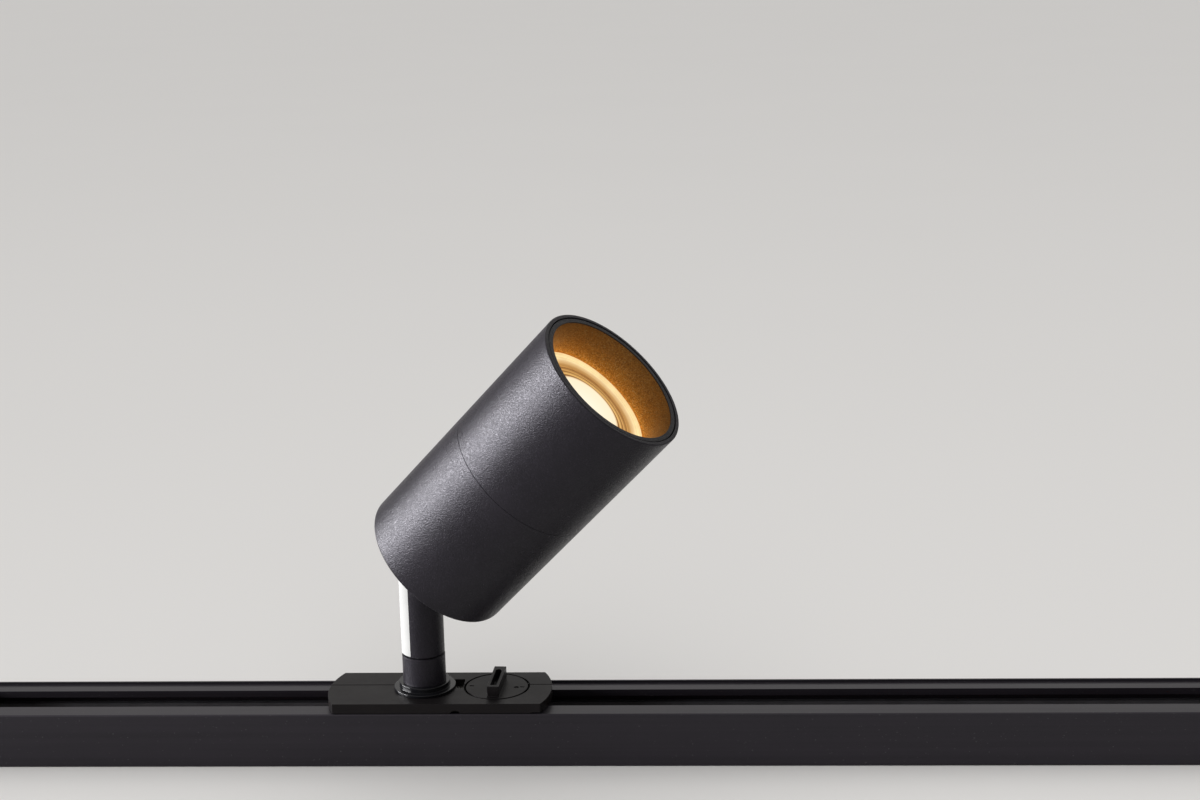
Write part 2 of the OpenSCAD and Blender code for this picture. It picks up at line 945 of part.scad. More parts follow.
module glare_cup() {
    color("darkgoldenrod")
        at_head()
            rotate_extrude($fn = 180)
                polygon([
                    [lip_in, lip_z0], [head_in, lip_z0], [head_in, lip_z0 - 1],
                    [lip_in + cup_t, lip_z0 - 1], [cup_floor_r + cup_t, lamp_face],
                    [cup_floor_r + cup_t, lamp_face - lamp_rim_t + 0.6],
                    [cup_floor_r, lamp_face - lamp_rim_t + 0.6], [cup_floor_r, lamp_face]
                ]);
}

function bowl(t) = [
    base_r + 1.5 + (lamp_r - 0.4 - base_r - 1.5) * sqrt(t),
    neck_z + (lamp_face - lamp_rim_t - neck_z) * t
];

module lamp_reflector() {
    n = 10;
    w = 1.1;
    color("khaki")
        at_head()
            rotate_extrude($fn = 120)
                polygon(concat(
                    [[0, neck_z]],
                    [for (i = [0:n]) bowl(i / n)],
                    [[lamp_r, lamp_face - lamp_rim_t], [lamp_r, lamp_face - 0.3],
                     [lamp_r - 0.3, lamp_face], [lamp_r - 1.6, lamp_face],
                     [lamp_r - 1.6, lamp_face - lamp_rim_t]],
                    [for (i = [n:-1:1]) bowl(i / n) - [w, 0]],
                    [[0, neck_z + 1.2]]
                ));
}

module lamp_lens() {
    color("lightyellow")
        at_head()
            translate([0, 0, lamp_face - lamp_rim_t])
                rotate_extrude($fn = 120)
                    polygon([
                        [0, 0], [lamp_r - 1.6, 0], [lamp_r - 1.6, lamp_rim_t - 0.5],
                        [lamp_r - 4, lamp_rim_t - 0.9], [lamp_r - 8, lamp_rim_t - 1.2],
                        [0, lamp_rim_t - 1.2]
                    ]);
}

module lamp_base() {
    color("whitesmoke")
        at_head()
            translate([0, 0, base_z])
                difference() {
                    cylinder(r = base_r, h = base_len);
                    for (s = [-1, 1])
                        translate([0, s * (base_r + 0.5), base_len / 2])
                            cube([2 * base_r, 3, base_len + 1], center = true);
                }
}

module lamp_pins() {
    color("silver")
        at_head()
            for (s = [-1, 1])
                translate([s * pin_pitch / 2, 0, lamp_back])
                    union() {
                        cylinder(r = 2.5, h = 1.6);
                        cylinder(r = 1.5, h = pin_len);
                    }
}

module lamp_holder() {
    color("whitesmoke")
        at_head()
            difference() {
                translate([0, 0, holder_z])
                    cylinder(r = holder_r, h = holder_len);
                for (s = [-1, 1]) {
                    translate([s * pin_pitch / 2, 0, lamp_back - 0.6])
                        cylinder(r = 2.8, h = pin_len + 2);
                    translate([s * wire_dx, 0, holder_z - 1])
                        cylinder(r = wire_r + clear, h = 5);
                    translate([0, s * 8, holder_z - 1])
                        cylinder(r = 1.2, h = 7);
                }
            }
}

module holder_bracket() {
    color("silver")
        at_head()
            difference() {
                union() {
                    block([-strap_x, -strap_w, holder_z - strap_t],
                          [strap_x, strap_w, holder_z]);
                    for (s = [-1, 1])
                        scale([s, 1, 1]) {
                            block([strap_x - strap_t, -strap_w / 2, back_in],
                                  [strap_x, strap_w / 2, holder_z - strap_t + e]);
                            block([strap_x - e, -strap_w / 2, back_in],
                                  [strap_x + foot_len, strap_w / 2, back_in + strap_t]);
                        }
                }
                translate([0, 0, holder_z - 5])
                    cylinder(r = 3.4, h = 8);
                for (s = [-1, 1]) {
                    translate([0, s * 8, holder_z - 5])
                        cylinder(r = 1.3, h = 8);
                    translate([s * foot_x, 0, back_in - 1])
                        cylinder(r = 1.3, h = 4);
                }
            }
}

module bracket_screws() {
    color("silver")
        at_head()
            for (s = [-1, 1])
                translate([s * foot_x, 0, back_in + strap_t])
                    screw(1.2, strap_t + back_wall - 1, 2.2, 1.3);
}

module holder_screws() {
    color("silver")
        at_head()
            for (s = [-1, 1])
                translate([0, s * 8, holder_z - strap_t])
                    rotate([180, 0, 0])
                        screw(1.2, strap_t + 5, 2.2, 1.3);
}

module head_wires() {
    color("firebrick")
        at_head()
            for (s = [-1, 1])
                translate([s * wire_dx, 0, bolt_r + 2])
                    cylinder(r = wire_r, h = holder_z + 3 - bolt_r - 2, $fn = 24);
}

track_extrusion();
liner(-1);  // liner_front
liner(1);  // liner_back
conductor(-1);  // conductor_live
conductor(1);  // conductor_neutral
end_cap();
end_cap_screw();
live_end_box();
live_end_cover();
live_terminal();
live_tongues();
terminal_screws();
cover_screws();
adapter_front_shell();
adapter_back_shell();
shell_screws();
detent_leaf();
earth_spring();
link_leads();
flange_ring();
swivel_collar();
collar_clip();
swivel_bush();
lock_knob();
lock_rotor();
lock_tabs();
contact_blades();
rotor_screw();
spindle();
thrust_washer();
ring_nut();
post_tube();
post_label();
post_wires();
knuckle_bolt();
pivot_insert();
knuckle_washers();
knuckle_tongue();
tongue_nut();
rear_housing();
coupling_ring();
front_tube();
lip_ring();
glare_cup();
lamp_reflector();
lamp_lens();
lamp_base();
lamp_pins();
lamp_holder();
holder_bracket();
bracket_screws();
holder_screws();
head_wires();
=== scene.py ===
# %% [markdown]
# # Track spotlight
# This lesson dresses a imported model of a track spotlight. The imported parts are
# a fixed frame: their places and sizes are settled. Every new piece takes its
# place from them, so the work here is edges, small detail and finishes.

# %% Load the frame
import json
import math

import bmesh
import bpy
from mathutils import Matrix, Vector


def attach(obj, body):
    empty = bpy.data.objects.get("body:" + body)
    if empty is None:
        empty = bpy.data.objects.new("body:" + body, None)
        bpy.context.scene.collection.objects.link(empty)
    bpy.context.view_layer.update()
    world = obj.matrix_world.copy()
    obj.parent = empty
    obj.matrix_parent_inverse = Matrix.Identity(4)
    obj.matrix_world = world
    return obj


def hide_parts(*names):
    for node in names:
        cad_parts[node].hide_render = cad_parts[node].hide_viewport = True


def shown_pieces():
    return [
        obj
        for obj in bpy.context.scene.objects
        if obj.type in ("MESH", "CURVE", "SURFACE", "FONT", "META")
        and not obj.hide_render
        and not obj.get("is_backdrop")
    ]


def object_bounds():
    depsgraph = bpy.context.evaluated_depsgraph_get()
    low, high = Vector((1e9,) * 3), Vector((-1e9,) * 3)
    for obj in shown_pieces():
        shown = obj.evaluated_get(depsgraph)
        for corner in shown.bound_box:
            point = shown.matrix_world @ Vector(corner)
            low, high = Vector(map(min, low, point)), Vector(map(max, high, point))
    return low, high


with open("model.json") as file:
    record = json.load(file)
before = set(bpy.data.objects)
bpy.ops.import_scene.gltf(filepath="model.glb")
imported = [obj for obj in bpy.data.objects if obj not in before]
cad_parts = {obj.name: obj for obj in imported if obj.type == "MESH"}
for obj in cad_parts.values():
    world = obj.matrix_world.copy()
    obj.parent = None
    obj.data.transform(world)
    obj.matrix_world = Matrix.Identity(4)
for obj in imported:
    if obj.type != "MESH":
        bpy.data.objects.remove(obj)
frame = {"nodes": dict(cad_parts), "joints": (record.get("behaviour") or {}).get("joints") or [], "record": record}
cad_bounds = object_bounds()
nodes = frame["nodes"]
MM = 0.001
print("CAD box, metres:", [[round(c, 4) for c in corner] for corner in cad_bounds])

# %% [markdown]
# ## The moving axes
# A spotlight is a chain of axes: the adapter slides in the track, its lock and
# the post turn about upright axes, and the head tilts on the pivot. Reading
# them from the joints is surer than measuring meshes. The head's lean is what
# the tilt joint can still straighten, so its beam needs no guess by eye. Each
# axis becomes a matrix whose Z is the axis of the pieces turned around it.

# %% Axes
joints = {j["name"]: j for j in frame["joints"]}
pivot = Vector(joints["head_tilt"]["pos_m"])
tilt_axis = Vector(joints["head_tilt"]["axis"]).normalized()
lean = -math.radians(joints["head_tilt"]["range_deg"][0])
beam = Matrix.Rotation(lean, 3, tilt_axis) @ Vector((0, 0, 1))
side = tilt_axis.cross(beam)


def upright(joint):
    """A frame on a joint's upright axis, with its origin at z = 0."""
    x, y, _ = joints[joint]["pos_m"]
    return Matrix.Translation((x, y, 0))


at_track = Matrix.Identity(4)
at_post = upright("post_pan")
at_lock = upright("lock_turn")
at_head = Matrix.Translation(pivot) @ Matrix((side, tilt_axis, beam)).transposed().to_4x4()
print("beam", tuple(round(c, 4) for c in beam), "lean", round(math.degrees(lean), 2))

# %% [markdown]
# ## Camera
# A product picture of something this long wants a long lens, a little above
# the track and almost square to it, so that its lines stay calm. The camera
# comes first because everything after it is judged from here.

# %% Camera
CAMERA_AT = Vector((32.9, -661.7, 307.0)) * MM
CAMERA_YAW = math.radians(-2.43)
CAMERA_PITCH = math.radians(-14.23)
CAMERA_ROLL = math.radians(-1.15)
LENS_MM = 55.43
SENSOR_MM = 36
CLIP_END = 50.0


def camera_axes(yaw, pitch, roll):
    """Right, up and forward of a camera that looks along +Y at zero angles."""
    forward = Vector((
        math.sin(yaw) * math.cos(pitch),
        math.cos(yaw) * math.cos(pitch),
        math.sin(pitch),
    ))
    right = Vector((math.cos(yaw), -math.sin(yaw), 0))
    up = right.cross(forward)
    return (
        right * math.cos(roll) + up * math.sin(roll),
        up * math.cos(roll) - right * math.sin(roll),
        forward,
    )


right, up, forward = camera_axes(CAMERA_YAW, CAMERA_PITCH, CAMERA_ROLL)
camera_data = bpy.data.cameras.new("camera")
camera_data.sensor_width = SENSOR_MM
camera_data.lens = LENS_MM
camera_data.clip_end = CLIP_END
camera = bpy.data.objects.new("camera", camera_data)
camera_turn = Matrix((right, up, -forward)).transposed().to_4x4()
camera.matrix_world = Matrix.Translation(CAMERA_AT) @ camera_turn
bpy.context.collection.objects.link(camera)
bpy.context.scene.camera = camera
print("camera at", tuple(round(c, 3) for c in CAMERA_AT), "m, lens", LENS_MM, "mm")

# %% [markdown]
# ## Writing node graphs as sums
# A bump or a fleck is easiest to read as a formula. The class below wraps one
# socket, and each operator on it adds a Math node, so `1 - mask * 0.3` builds
# two nodes. Every other node comes from one method that takes the node's type,
# its settings and the values or links of its sockets. Materials and Geometry
# Nodes trees both start from it, because both are graphs.

# %% Sockets that add up
class Wire:
    """One output socket that can be used in arithmetic."""

    def __init__(self, graph, socket):
        self.graph = graph
        self.socket = socket

    def _maths(self, operation, first, second):
        return self.graph.node("ShaderNodeMath", {"operation": operation}, {0: first, 1: second})

    def __add__(self, other):
        return self._maths("ADD", self, other)

    def __radd__(self, other):
        return self._maths("ADD", other, self)

    def __sub__(self, other):
        return self._maths("SUBTRACT", self, other)

    def __rsub__(self, other):
        return self._maths("SUBTRACT", other, self)

    def __mul__(self, other):
        return self._maths("MULTIPLY", self, other)

    def __rmul__(self, other):
        return self._maths("MULTIPLY", other, self)


# %% One graph under construction
class Graph:
    """A node tree that grows one call at a time."""

    def __init__(self, tree):
        self.tree = tree

    def feed(self, socket, value):
        if isinstance(value, Wire):
            self.tree.links.new(value.socket, socket)
        else:
            socket.default_value = value

    def node(self, kind, settings=None, values=None, out=0):
        made = self.tree.nodes.new(kind)
        for key, value in (settings or {}).items():
            if key == "stops":
                self._stops(made.color_ramp, value)
            else:
                setattr(made, key, value)
        for key, value in (values or {}).items():
            self.feed(made.inputs[key], value)
        return Wire(self, made.outputs[out])

    @staticmethod
    def _stops(ramp, stops):
        while len(ramp.elements) < len(stops):
            ramp.elements.new(0.5)
        for element, (at, color) in zip(ramp.elements, stops):
            element.position = at
            element.color = color


# %% One finish under construction
class Finish(Graph):
    """A Principled material. Constants go straight to its sockets by name."""

    def __init__(self, name, **constants):
        self.material = bpy.data.materials.new(name)
        self.material.use_nodes = True
        super().__init__(self.material.node_tree)
        self.shader = self.tree.nodes["Principled BSDF"]
        self.set(**constants)

    def set(self, **inputs):
        for key, value in inputs.items():
            self.feed(self.shader.inputs[key.replace("_", " ")], value)
        return self.material

    def spot(self, scale=(1, 1, 1), at=None):
        """Object coordinates, stretched, or seen from a frame such as at_head."""
        where = self.node("ShaderNodeTexCoord", out="Object")
        if at is not None:
            turn = at.to_euler()
            values = {"Vector": where, "Location": at.translation, "Rotation": turn}
            where = self.node("ShaderNodeMapping", {"vector_type": "TEXTURE"}, values)
        return self.node("ShaderNodeMapping", {}, {"Vector": where, "Scale": scale})

    def noise(self, vector, scale, detail=2, rough=0.5):
        values = {"Vector": vector, "Scale": scale, "Detail": detail, "Roughness": rough}
        return self.node("ShaderNodeTexNoise", {}, values)

    def cells(self, vector, scale, out="Distance"):
        return self.node("ShaderNodeTexVoronoi", {}, {"Vector": vector, "Scale": scale}, out)

    def cell_value(self, vector, scale):
        """One random number for each cell."""
        colour = self.cells(vector, scale, "Color")
        return self.node("ShaderNodeSeparateColor", {}, {"Color": colour})

    def ramp(self, value, *stops):
        return self.node("ShaderNodeValToRGB", {"stops": stops}, {"Fac": value})

    def fade(self, value, low, high, to_low=0.0, to_high=1.0):
        values = {"Value": value, 1: low, 2: high, 3: to_low, 4: to_high}
        return self.node("ShaderNodeMapRange", {"clamp": True}, values)

    def mix(self, mask, first, second):
        values = {0: mask, 6: first, 7: second}
        return self.node("ShaderNodeMix", {"data_type": "RGBA"}, values, out=2)

    def bump(self, height, strength, distance):
        values = {"Height": height, "Strength": strength, "Distance": distance}
        return self.node("ShaderNodeBump", {}, values)


def tone(colour, share=1.0):
    """A colour as four numbers, brightened or dimmed by a share."""
    return [c * share for c in colour] + [1]


# %% [markdown]
# ## Powder coat
# The head, the post and the collar are baked with a satin black powder. Close
# up it has an orange peel of about half a millimetre and a scatter of tiny
# bright flecks. An image of a coated panel would show seams and a fixed scale,
# so two noises make the peel instead. The flecks are cells that pass a random
# threshold, and they change colour and roughness only a little, as real ones do.

# %% Powder coat
VIOLET_GREY = (0.93, 0.9, 1.0, 1)


def powder_coat(name, black, rough, fleck=0.5):
    p = Finish(name, Specular_IOR_Level=0.2, Specular_Tint=VIOLET_GREY)
    spot = p.spot()
    peel = p.noise(spot, 1500, 2)
    grain = p.noise(spot, 3000, 1)
    flecks = p.fade(p.cell_value(spot, 3300), 0.82, 0.98)
    speck = p.cell_value(spot, 2600)
    cloud = p.noise(spot, 45, 3, 0.6)
    base = p.mix(p.fade(cloud, 0.35, 0.65), tone(black, 0.85), tone(black, 1.2))
    return p.set(
        Base_Color=p.mix(flecks * fleck, base, tone(black, 3.2)),
        Roughness=rough + (speck - 0.5) * 0.2 + (cloud - 0.5) * 0.06 - flecks * 0.1,
        Normal=p.bump(peel + grain, 0.7, 0.00012),
    )


black_coat = powder_coat("black_coat", (0.0085, 0.0075, 0.0098), 0.38)
lip_coat = powder_coat("lip_coat", (0.006, 0.0058, 0.0066), 0.4, 0.3)
print("powder coats:", black_coat.name, lip_coat.name)

# %% [markdown]
# ## Anodised track
# The track is extruded, so whatever marks it has run along its length: die
# lines, rubbing from other tracks in the box, a little dust. Squeezing the
# coordinates along X turns round noise into long streaks.

# %% Anodised track
def anodised(name, black):
    p = Finish(name, Specular_IOR_Level=0.34, Specular_Tint=VIOLET_GREY)
    streak = p.noise(p.spot((3, 700, 700)), 1, 3, 0.6)
    hair = p.noise(p.spot((12, 4200, 4200)), 1, 1)
    cloud = p.noise(p.spot((14, 60, 60)), 1, 4, 0.6)
    dust = p.fade(p.cell_value(p.spot((2400, 3200, 3200)), 1), 0.993, 1.0)
    grey = p.mix(p.fade(streak + cloud * 0.6, 0.5, 1.1), tone(black, 0.8), tone(black, 1.5))
    return p.set(
        Base_Color=p.mix(dust * 0.3, grey, (0.1, 0.1, 0.1, 1)),
        Roughness=0.38 + (streak - 0.5) * 0.16 + (cloud - 0.5) * 0.16,
        Normal=p.bump(streak + hair * 0.4, 0.2, 0.00004),
    )


track_finish = anodised("anodised_black", (0.0075, 0.0062, 0.0082))
print("track finish:", track_finish.name)

# %% [markdown]
# ## Moulded plastic
# The adapter, the caps and the terminal blocks are filled mouldings with a
# fine spark-eroded grain. Handling polishes them in soft patches, so the
# roughness wanders more than the colour. One function with a few settings
# serves them all, because only tone and gloss tell them apart.

# %% Moulded plastic
WARM_GREY = (1.0, 0.94, 0.96, 1)


def moulded(name, colour, rough, gloss=0.4, grain_strength=0.35):
    p = Finish(name, Specular_IOR_Level=gloss, Specular_Tint=WARM_GREY)
    spot = p.spot()
    grain = p.noise(spot, 3300, 2, 0.6)
    patch = p.noise(spot, 90, 4, 0.6)
    scuff = p.fade(p.noise(p.spot((260, 700, 260)), 1, 4, 0.7), 0.6, 0.72)
    mottled = p.mix(p.fade(patch, 0.35, 0.65), tone(colour, 0.88), tone(colour, 1.2))
    return p.set(
        Base_Color=p.mix(scuff * 0.2, mottled, tone(colour, 1.8)),
        Roughness=rough + (patch - 0.5) * 0.2 + scuff * 0.08,
        Normal=p.bump(grain, grain_strength, 0.00005),
    )


adapter_black = moulded("adapter_black", (0.0042, 0.0036, 0.0038), 0.4, 0.13)
cap_black = moulded("cap_black", (0.0135, 0.013, 0.014), 0.5)
liner_black = moulded("liner_black", (0.04, 0.039, 0.043), 0.6)
terminal_cream = moulded("terminal_cream", (0.6, 0.59, 0.54), 0.5)
rotor_grey = moulded("rotor_grey", (0.48, 0.48, 0.45), 0.45)
red_lead = moulded("red_lead", (0.35, 0.03, 0.02), 0.45, grain_strength=0.15)
print("mouldings:", [m.name for m in bpy.data.materials if m.name.endswith("_black")])

# %% [markdown]
# ## Polished ring
# The flange at the foot of the post is glossy: it shows two hard lines of
# light. A perfect mirror looks false at this size, so a slow haze keeps the
# roughness moving between a polish and a finger mark.

# %% Polished ring
def polished(name):
    p = Finish(name, Base_Color=(0.004, 0.004, 0.005, 1), Specular_IOR_Level=0.28)
    haze = p.noise(p.spot(), 160, 4, 0.65)
    ripple = p.noise(p.spot(), 700, 2)
    return p.set(
        Roughness=p.fade(haze, 0.35, 0.7, 0.14, 0.2),
        Normal=p.bump(ripple, 0.04, 0.00003),
    )


polished_black = polished("polished_black")
print("polished:", polished_black.name)

# %% [markdown]
# ## Metals
# Springs, blades, screws and the spindle are bare metal. Drawn and rolled metal
# carries fine lines, and zinc plating carries a cloudy stain; both change
# roughness first. The stretch of the coordinates sets which way the lines run.

# %% Metals
def metal(name, colour, rough, stretch):
    p = Finish(name, Metallic=1.0)
    drawn = p.noise(p.spot(stretch), 1, 3, 0.6)
    stain = p.noise(p.spot(), 140, 4, 0.6)
    return p.set(
        Base_Color=p.mix(p.fade(stain, 0.4, 0.7), tone(colour), tone(colour, 0.66)),
        Roughness=rough + (drawn - 0.5) * 0.22 + (stain - 0.5) * 0.14,
        Normal=p.bump(drawn, 0.15, 0.00003),
    )


ALONG_TRACK = (60, 900, 900)
ALL_ROUND = (420, 420, 420)
copper_strip = metal("copper_strip", (0.78, 0.36, 0.2), 0.32, ALONG_TRACK)
zinc_steel = metal("zinc_steel", (0.6, 0.59, 0.56), 0.3, ALL_ROUND)
black_steel = metal("black_steel", (0.05, 0.048, 0.046), 0.4, ALL_ROUND)
spring_bronze = metal("spring_bronze", (0.75, 0.52, 0.24), 0.3, ALONG_TRACK)
print("metals:", copper_strip.name, zinc_steel.name, black_steel.name, spring_bronze.name)

# %% [markdown]
# ## Nylon, ceramic and paper
# The bush, the lamp holder and the label all have a matt skin full of small
# pores. They differ in how fine and how deep the pores are, so one function
# takes both as numbers. The label stays blank.

# %% Porous finishes
def porous(name, colour, rough, scale, depth):
    p = Finish(name, Specular_IOR_Level=0.4)
    pores = p.noise(p.spot(), scale, 4, 0.7)
    tint = p.noise(p.spot(), 60, 3, 0.6)
    return p.set(
        Base_Color=p.mix(p.fade(tint, 0.35, 0.65), tone(colour), tone(colour, 0.9)),
        Roughness=rough + (pores - 0.5) * 0.15,
        Normal=p.bump(pores, 0.3, depth),
    )


bush_nylon = porous("bush_nylon", (0.72, 0.69, 0.58), 0.45, 900, 0.00006)
ceramic = porous("ceramic", (0.78, 0.76, 0.7), 0.55, 1200, 0.00006)
label_paper = porous("label_paper", (0.33, 0.33, 0.322), 0.6, 2500, 0.00002)
print("porous:", bush_nylon.name, ceramic.name, label_paper.name)

# %% [markdown]
# ## Measuring the turned pieces
# Most of this fixture was made on a lathe. A turned piece is known by its inner
# and outer radius and by where it starts and ends along its own axis, so that
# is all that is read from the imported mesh, in the frame of that axis.

# %% Measure
def measure(name, at):
    """Inner and outer radius, then lowest and highest z, of a node in a frame."""
    back = at.inverted()
    local = [back @ v.co for v in nodes[name].data.vertices]
    radii = [math.hypot(p.x, p.y) for p in local]
    heights = [p.z for p in local]
    return min(radii), max(radii), min(heights), max(heights)


MERGE = 0.001 * MM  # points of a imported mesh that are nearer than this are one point
SKIM = 0.01 * MM  # taken off the widest turned piece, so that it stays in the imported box
tube_in, tube_out, tube_low, tube_high = measure("front_tube", at_head)
tube_out -= SKIM
_, lamp_r, _, lamp_face = measure("lamp_reflector", at_head)
lip_in, lip_out, lip_low, lip_high = measure("lip_ring", at_head)
cup_in, cup_out, cup_low, cup_high = measure("glare_cup", at_head)
print("head radius", round(tube_out / MM, 2), "mm, lamp radius", round(lamp_r / MM, 2), "mm")

# %% [markdown]
# ## Gold lacquer
# The cup in the mouth is sprayed with bronze lacquer full of metal flakes.
# Each flake is a cell with its own random tone and tilt, so some catch the
# lamp and some stay dark, which is what makes it glitter. A ramp along the beam
# paints shade on the lacquer towards the lip, for the lamp's light falling off.

# %% Gold lacquer
FLAKES = 3500  # to the metre


def gold_lacquer(name):
    p = Finish(name, Specular_IOR_Level=0.5, Metallic=0.6)
    spot = p.spot()
    flake = p.cell_value(spot, FLAKES)
    tilt = p.cells(spot, FLAKES)
    haze = p.noise(spot, 250, 3, 0.6)
    height = p.node("ShaderNodeSeparateXYZ", {}, {0: p.spot(at=at_head)}, "Z")
    # painted shade: the cup darkens from the lamp to the lip, as the lamp's light falls off
    painted_lamp_falloff = p.ramp(
        p.fade(height, cup_low, lip_high),
        (0.0, (1.0, 1.0, 1.0, 1)),
        (0.09, (0.93, 0.95, 1.0, 1)),
        (0.26, (0.59, 0.57, 0.52, 1)),
        (0.44, (0.4, 0.39, 0.35, 1)),
        (0.62, (0.29, 0.28, 0.26, 1)),
        (1.0, (0.2, 0.2, 0.19, 1)),
    )
    tones = p.ramp(
        flake,
        (0.0, (0.44, 0.19, 0.026, 1)),
        (0.45, (0.78, 0.345, 0.052, 1)),
        (0.8, (1.0, 0.47, 0.08, 1)),
        (1.0, (1.0, 0.66, 0.24, 1)),
    )
    # multiplies the painted lamp-falloff shade into the flake tones
    falloff_multiply = {"data_type": "RGBA", "blend_type": "MULTIPLY"}
    return p.set(
        Base_Color=p.node("ShaderNodeMix", falloff_multiply, {0: 1.0, 6: tones, 7: painted_lamp_falloff}, out=2),
        Roughness=p.fade(haze, 0.3, 0.7, 0.34, 0.5),
        Normal=p.bump(tilt + flake, 0.35, 0.00006),
    )


gold_cup = gold_lacquer("gold_cup")
print("lacquer:", gold_cup.name)

# %% [markdown]
# ## Lamp glass
# The front of the lamp is one moulding: a bright plate in the middle, a few
# stepped rings round it and a wide frosted rim. It glows, so its tone is an
# emission colour read from the distance to the beam. Light leaks less through
# the steps, which the ramp paints amber, and fine rings break up the rim. The
# back of the lamp doesn't glow, so the colour fades out behind the front.

# %% Lamp glass
GLOW_DEPTH = 4 * MM
STEPS_FROM = 0.61  # of the lamp's radius: the frosting starts here and is whole at STEPS_TO
STEPS_TO = 0.63


def lamp_glow(name, strength):
    p = Finish(name, Roughness=0.25, Emission_Strength=strength)
    local = p.spot(at=at_head)
    across = p.node(
        "ShaderNodeVectorMath", {"operation": "MULTIPLY"}, {0: local, 1: (1, 1, 0)}
    )
    reach = p.node("ShaderNodeVectorMath", {"operation": "LENGTH"}, {0: across}, "Value")
    height = p.node("ShaderNodeSeparateXYZ", {}, {0: local}, "Z")
    front = p.fade(height, lamp_face - GLOW_DEPTH, lamp_face - GLOW_DEPTH / 2)
    rings = p.noise(p.node("ShaderNodeCombineXYZ", {}, {"X": reach}), 1900, 2, 0.7)
    blotch = p.noise(local, 160, 3, 0.6)
    glow = p.ramp(
        reach * (1 / lamp_r) + (rings - 0.5) * 0.012,
        (0.0, (0.96, 0.88, 0.72, 1)),
        (0.55, (0.92, 0.8, 0.58, 1)),
        (0.58, (0.72, 0.52, 0.28, 1)),
        (0.595, (0.16, 0.05, 0.005, 1)),
        (0.64, (0.2, 0.06, 0.006, 1)),
        (0.655, (0.85, 0.52, 0.17, 1)),
        (0.67, (0.16, 0.05, 0.005, 1)),
        (0.71, (0.24, 0.08, 0.01, 1)),
        (0.725, (0.8, 0.46, 0.14, 1)),
        (0.74, (0.15, 0.045, 0.005, 1)),
        (0.775, (0.26, 0.09, 0.012, 1)),
        (0.79, (0.7, 0.4, 0.12, 1)),
        (0.805, (0.3, 0.12, 0.018, 1)),
        (0.83, (0.62, 0.38, 0.15, 1)),
        (0.86, (0.78, 0.54, 0.27, 1)),
        (0.885, (0.95, 0.78, 0.43, 1)),
        (0.97, (0.97, 0.77, 0.4, 1)),
        (1.0, (0.72, 0.43, 0.15, 1)),
    )
    frosted = p.fade(reach, STEPS_FROM * lamp_r, STEPS_TO * lamp_r)
    veil = p.fade(rings * 0.75 + blotch * 0.25, 0.42, 0.6) * frosted
    lit = p.mix(veil * 0.5, glow, (0.5, 0.27, 0.08, 1))
    return p.set(
        Base_Color=(0.13, 0.09, 0.045, 1),
        Emission_Color=p.mix(front, (0, 0, 0, 1), lit),
        Normal=p.bump(rings + blotch, 0.3, 0.0001),
    )


lamp_glass = lamp_glow("lamp_glass", 1.05)
print("glowing glass:", lamp_glass.name)

# %% [markdown]
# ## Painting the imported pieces
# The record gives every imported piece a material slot. One table joins each slot
# to its finish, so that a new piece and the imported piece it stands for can
# never disagree.

# %% Finish of each slot
finishes = {
    "track_finish": track_finish,
    "liner_plastic": liner_black,
    "copper": copper_strip,
    "cap_plastic": cap_black,
    "terminal_plastic": terminal_cream,
    "steel": zinc_steel,
    "dark_steel": black_steel,
    "spring_metal": spring_bronze,
    "adapter_plastic": adapter_black,
    "gloss_black": polished_black,
    "black_coat": black_coat,
    "bush_nylon": bush_nylon,
    "rotor_plastic": rotor_grey,
    "label_paper": label_paper,
    "lead_insulation": red_lead,
    "lip_black": lip_coat,
    "gold_cup": gold_cup,
    "lamp_glass": lamp_glass,
    "lamp_front": lamp_glass,
    "ceramic": ceramic,
}
slot_of = {s["node"]: s["material_slot"] for s in frame["record"]["subparts"]}
body_of = {n: b for b, names in frame["record"]["behaviour"]["bodies"].items() for n in names}
for name, obj in nodes.items():
    obj.data.materials.clear()
    obj.data.materials.append(finishes[slot_of[name]])
print(len(finishes), "slots painted on", len(nodes), "pieces")

# %% [markdown]
# ## Handing a piece over
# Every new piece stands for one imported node: it hides that node, takes its
# finish and rides on its body. Keeping those three calls in one place means
# that no piece can be left behind when a joint moves.

# %% Stand in for a node
SHARP_ANGLE = math.radians(38)


def shaded(mesh):
    """Smooth faces, with the edges sharper than SHARP_ANGLE kept crisp."""
    mesh.polygons.foreach_set("use_smooth", [True] * len(mesh.polygons))
    mesh.set_sharp_from_angle(angle=SHARP_ANGLE)
    return mesh


def stand_for(name, node, mesh):
    """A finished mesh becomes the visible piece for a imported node."""
    mesh.materials.clear()
    mesh.materials.append(finishes[slot_of[node]])
    mesh.polygons.foreach_set("material_index", [0] * len(mesh.polygons))
    piece = bpy.data.objects.new(name, mesh)
    bpy.context.collection.objects.link(piece)
    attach(piece, body_of[node])
    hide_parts(node)
    print(name, len(mesh.polygons), "faces, for", node)
    return piece


# %% [markdown]
# ## Turning on the lathe
# A turned piece is an outline spun about its axis. The outline is a short list
# of corners, each with its own rounding, because a real edge is never sharp and
# it is the rounding that catches the light. Each corner becomes a small curve,
# with one more point just outside it that keeps the flat faces flat in shading.

# %% Lathe
CORNER_STEPS = 5
SUPPORT = 1.35  # where the outer point sits, in roundings from the corner
SHARE = 0.45  # of a side that one rounding may take
WELD = 0.0001 * MM
FINE = 0.1 * MM  # rounding of an edge that is deburred and no more


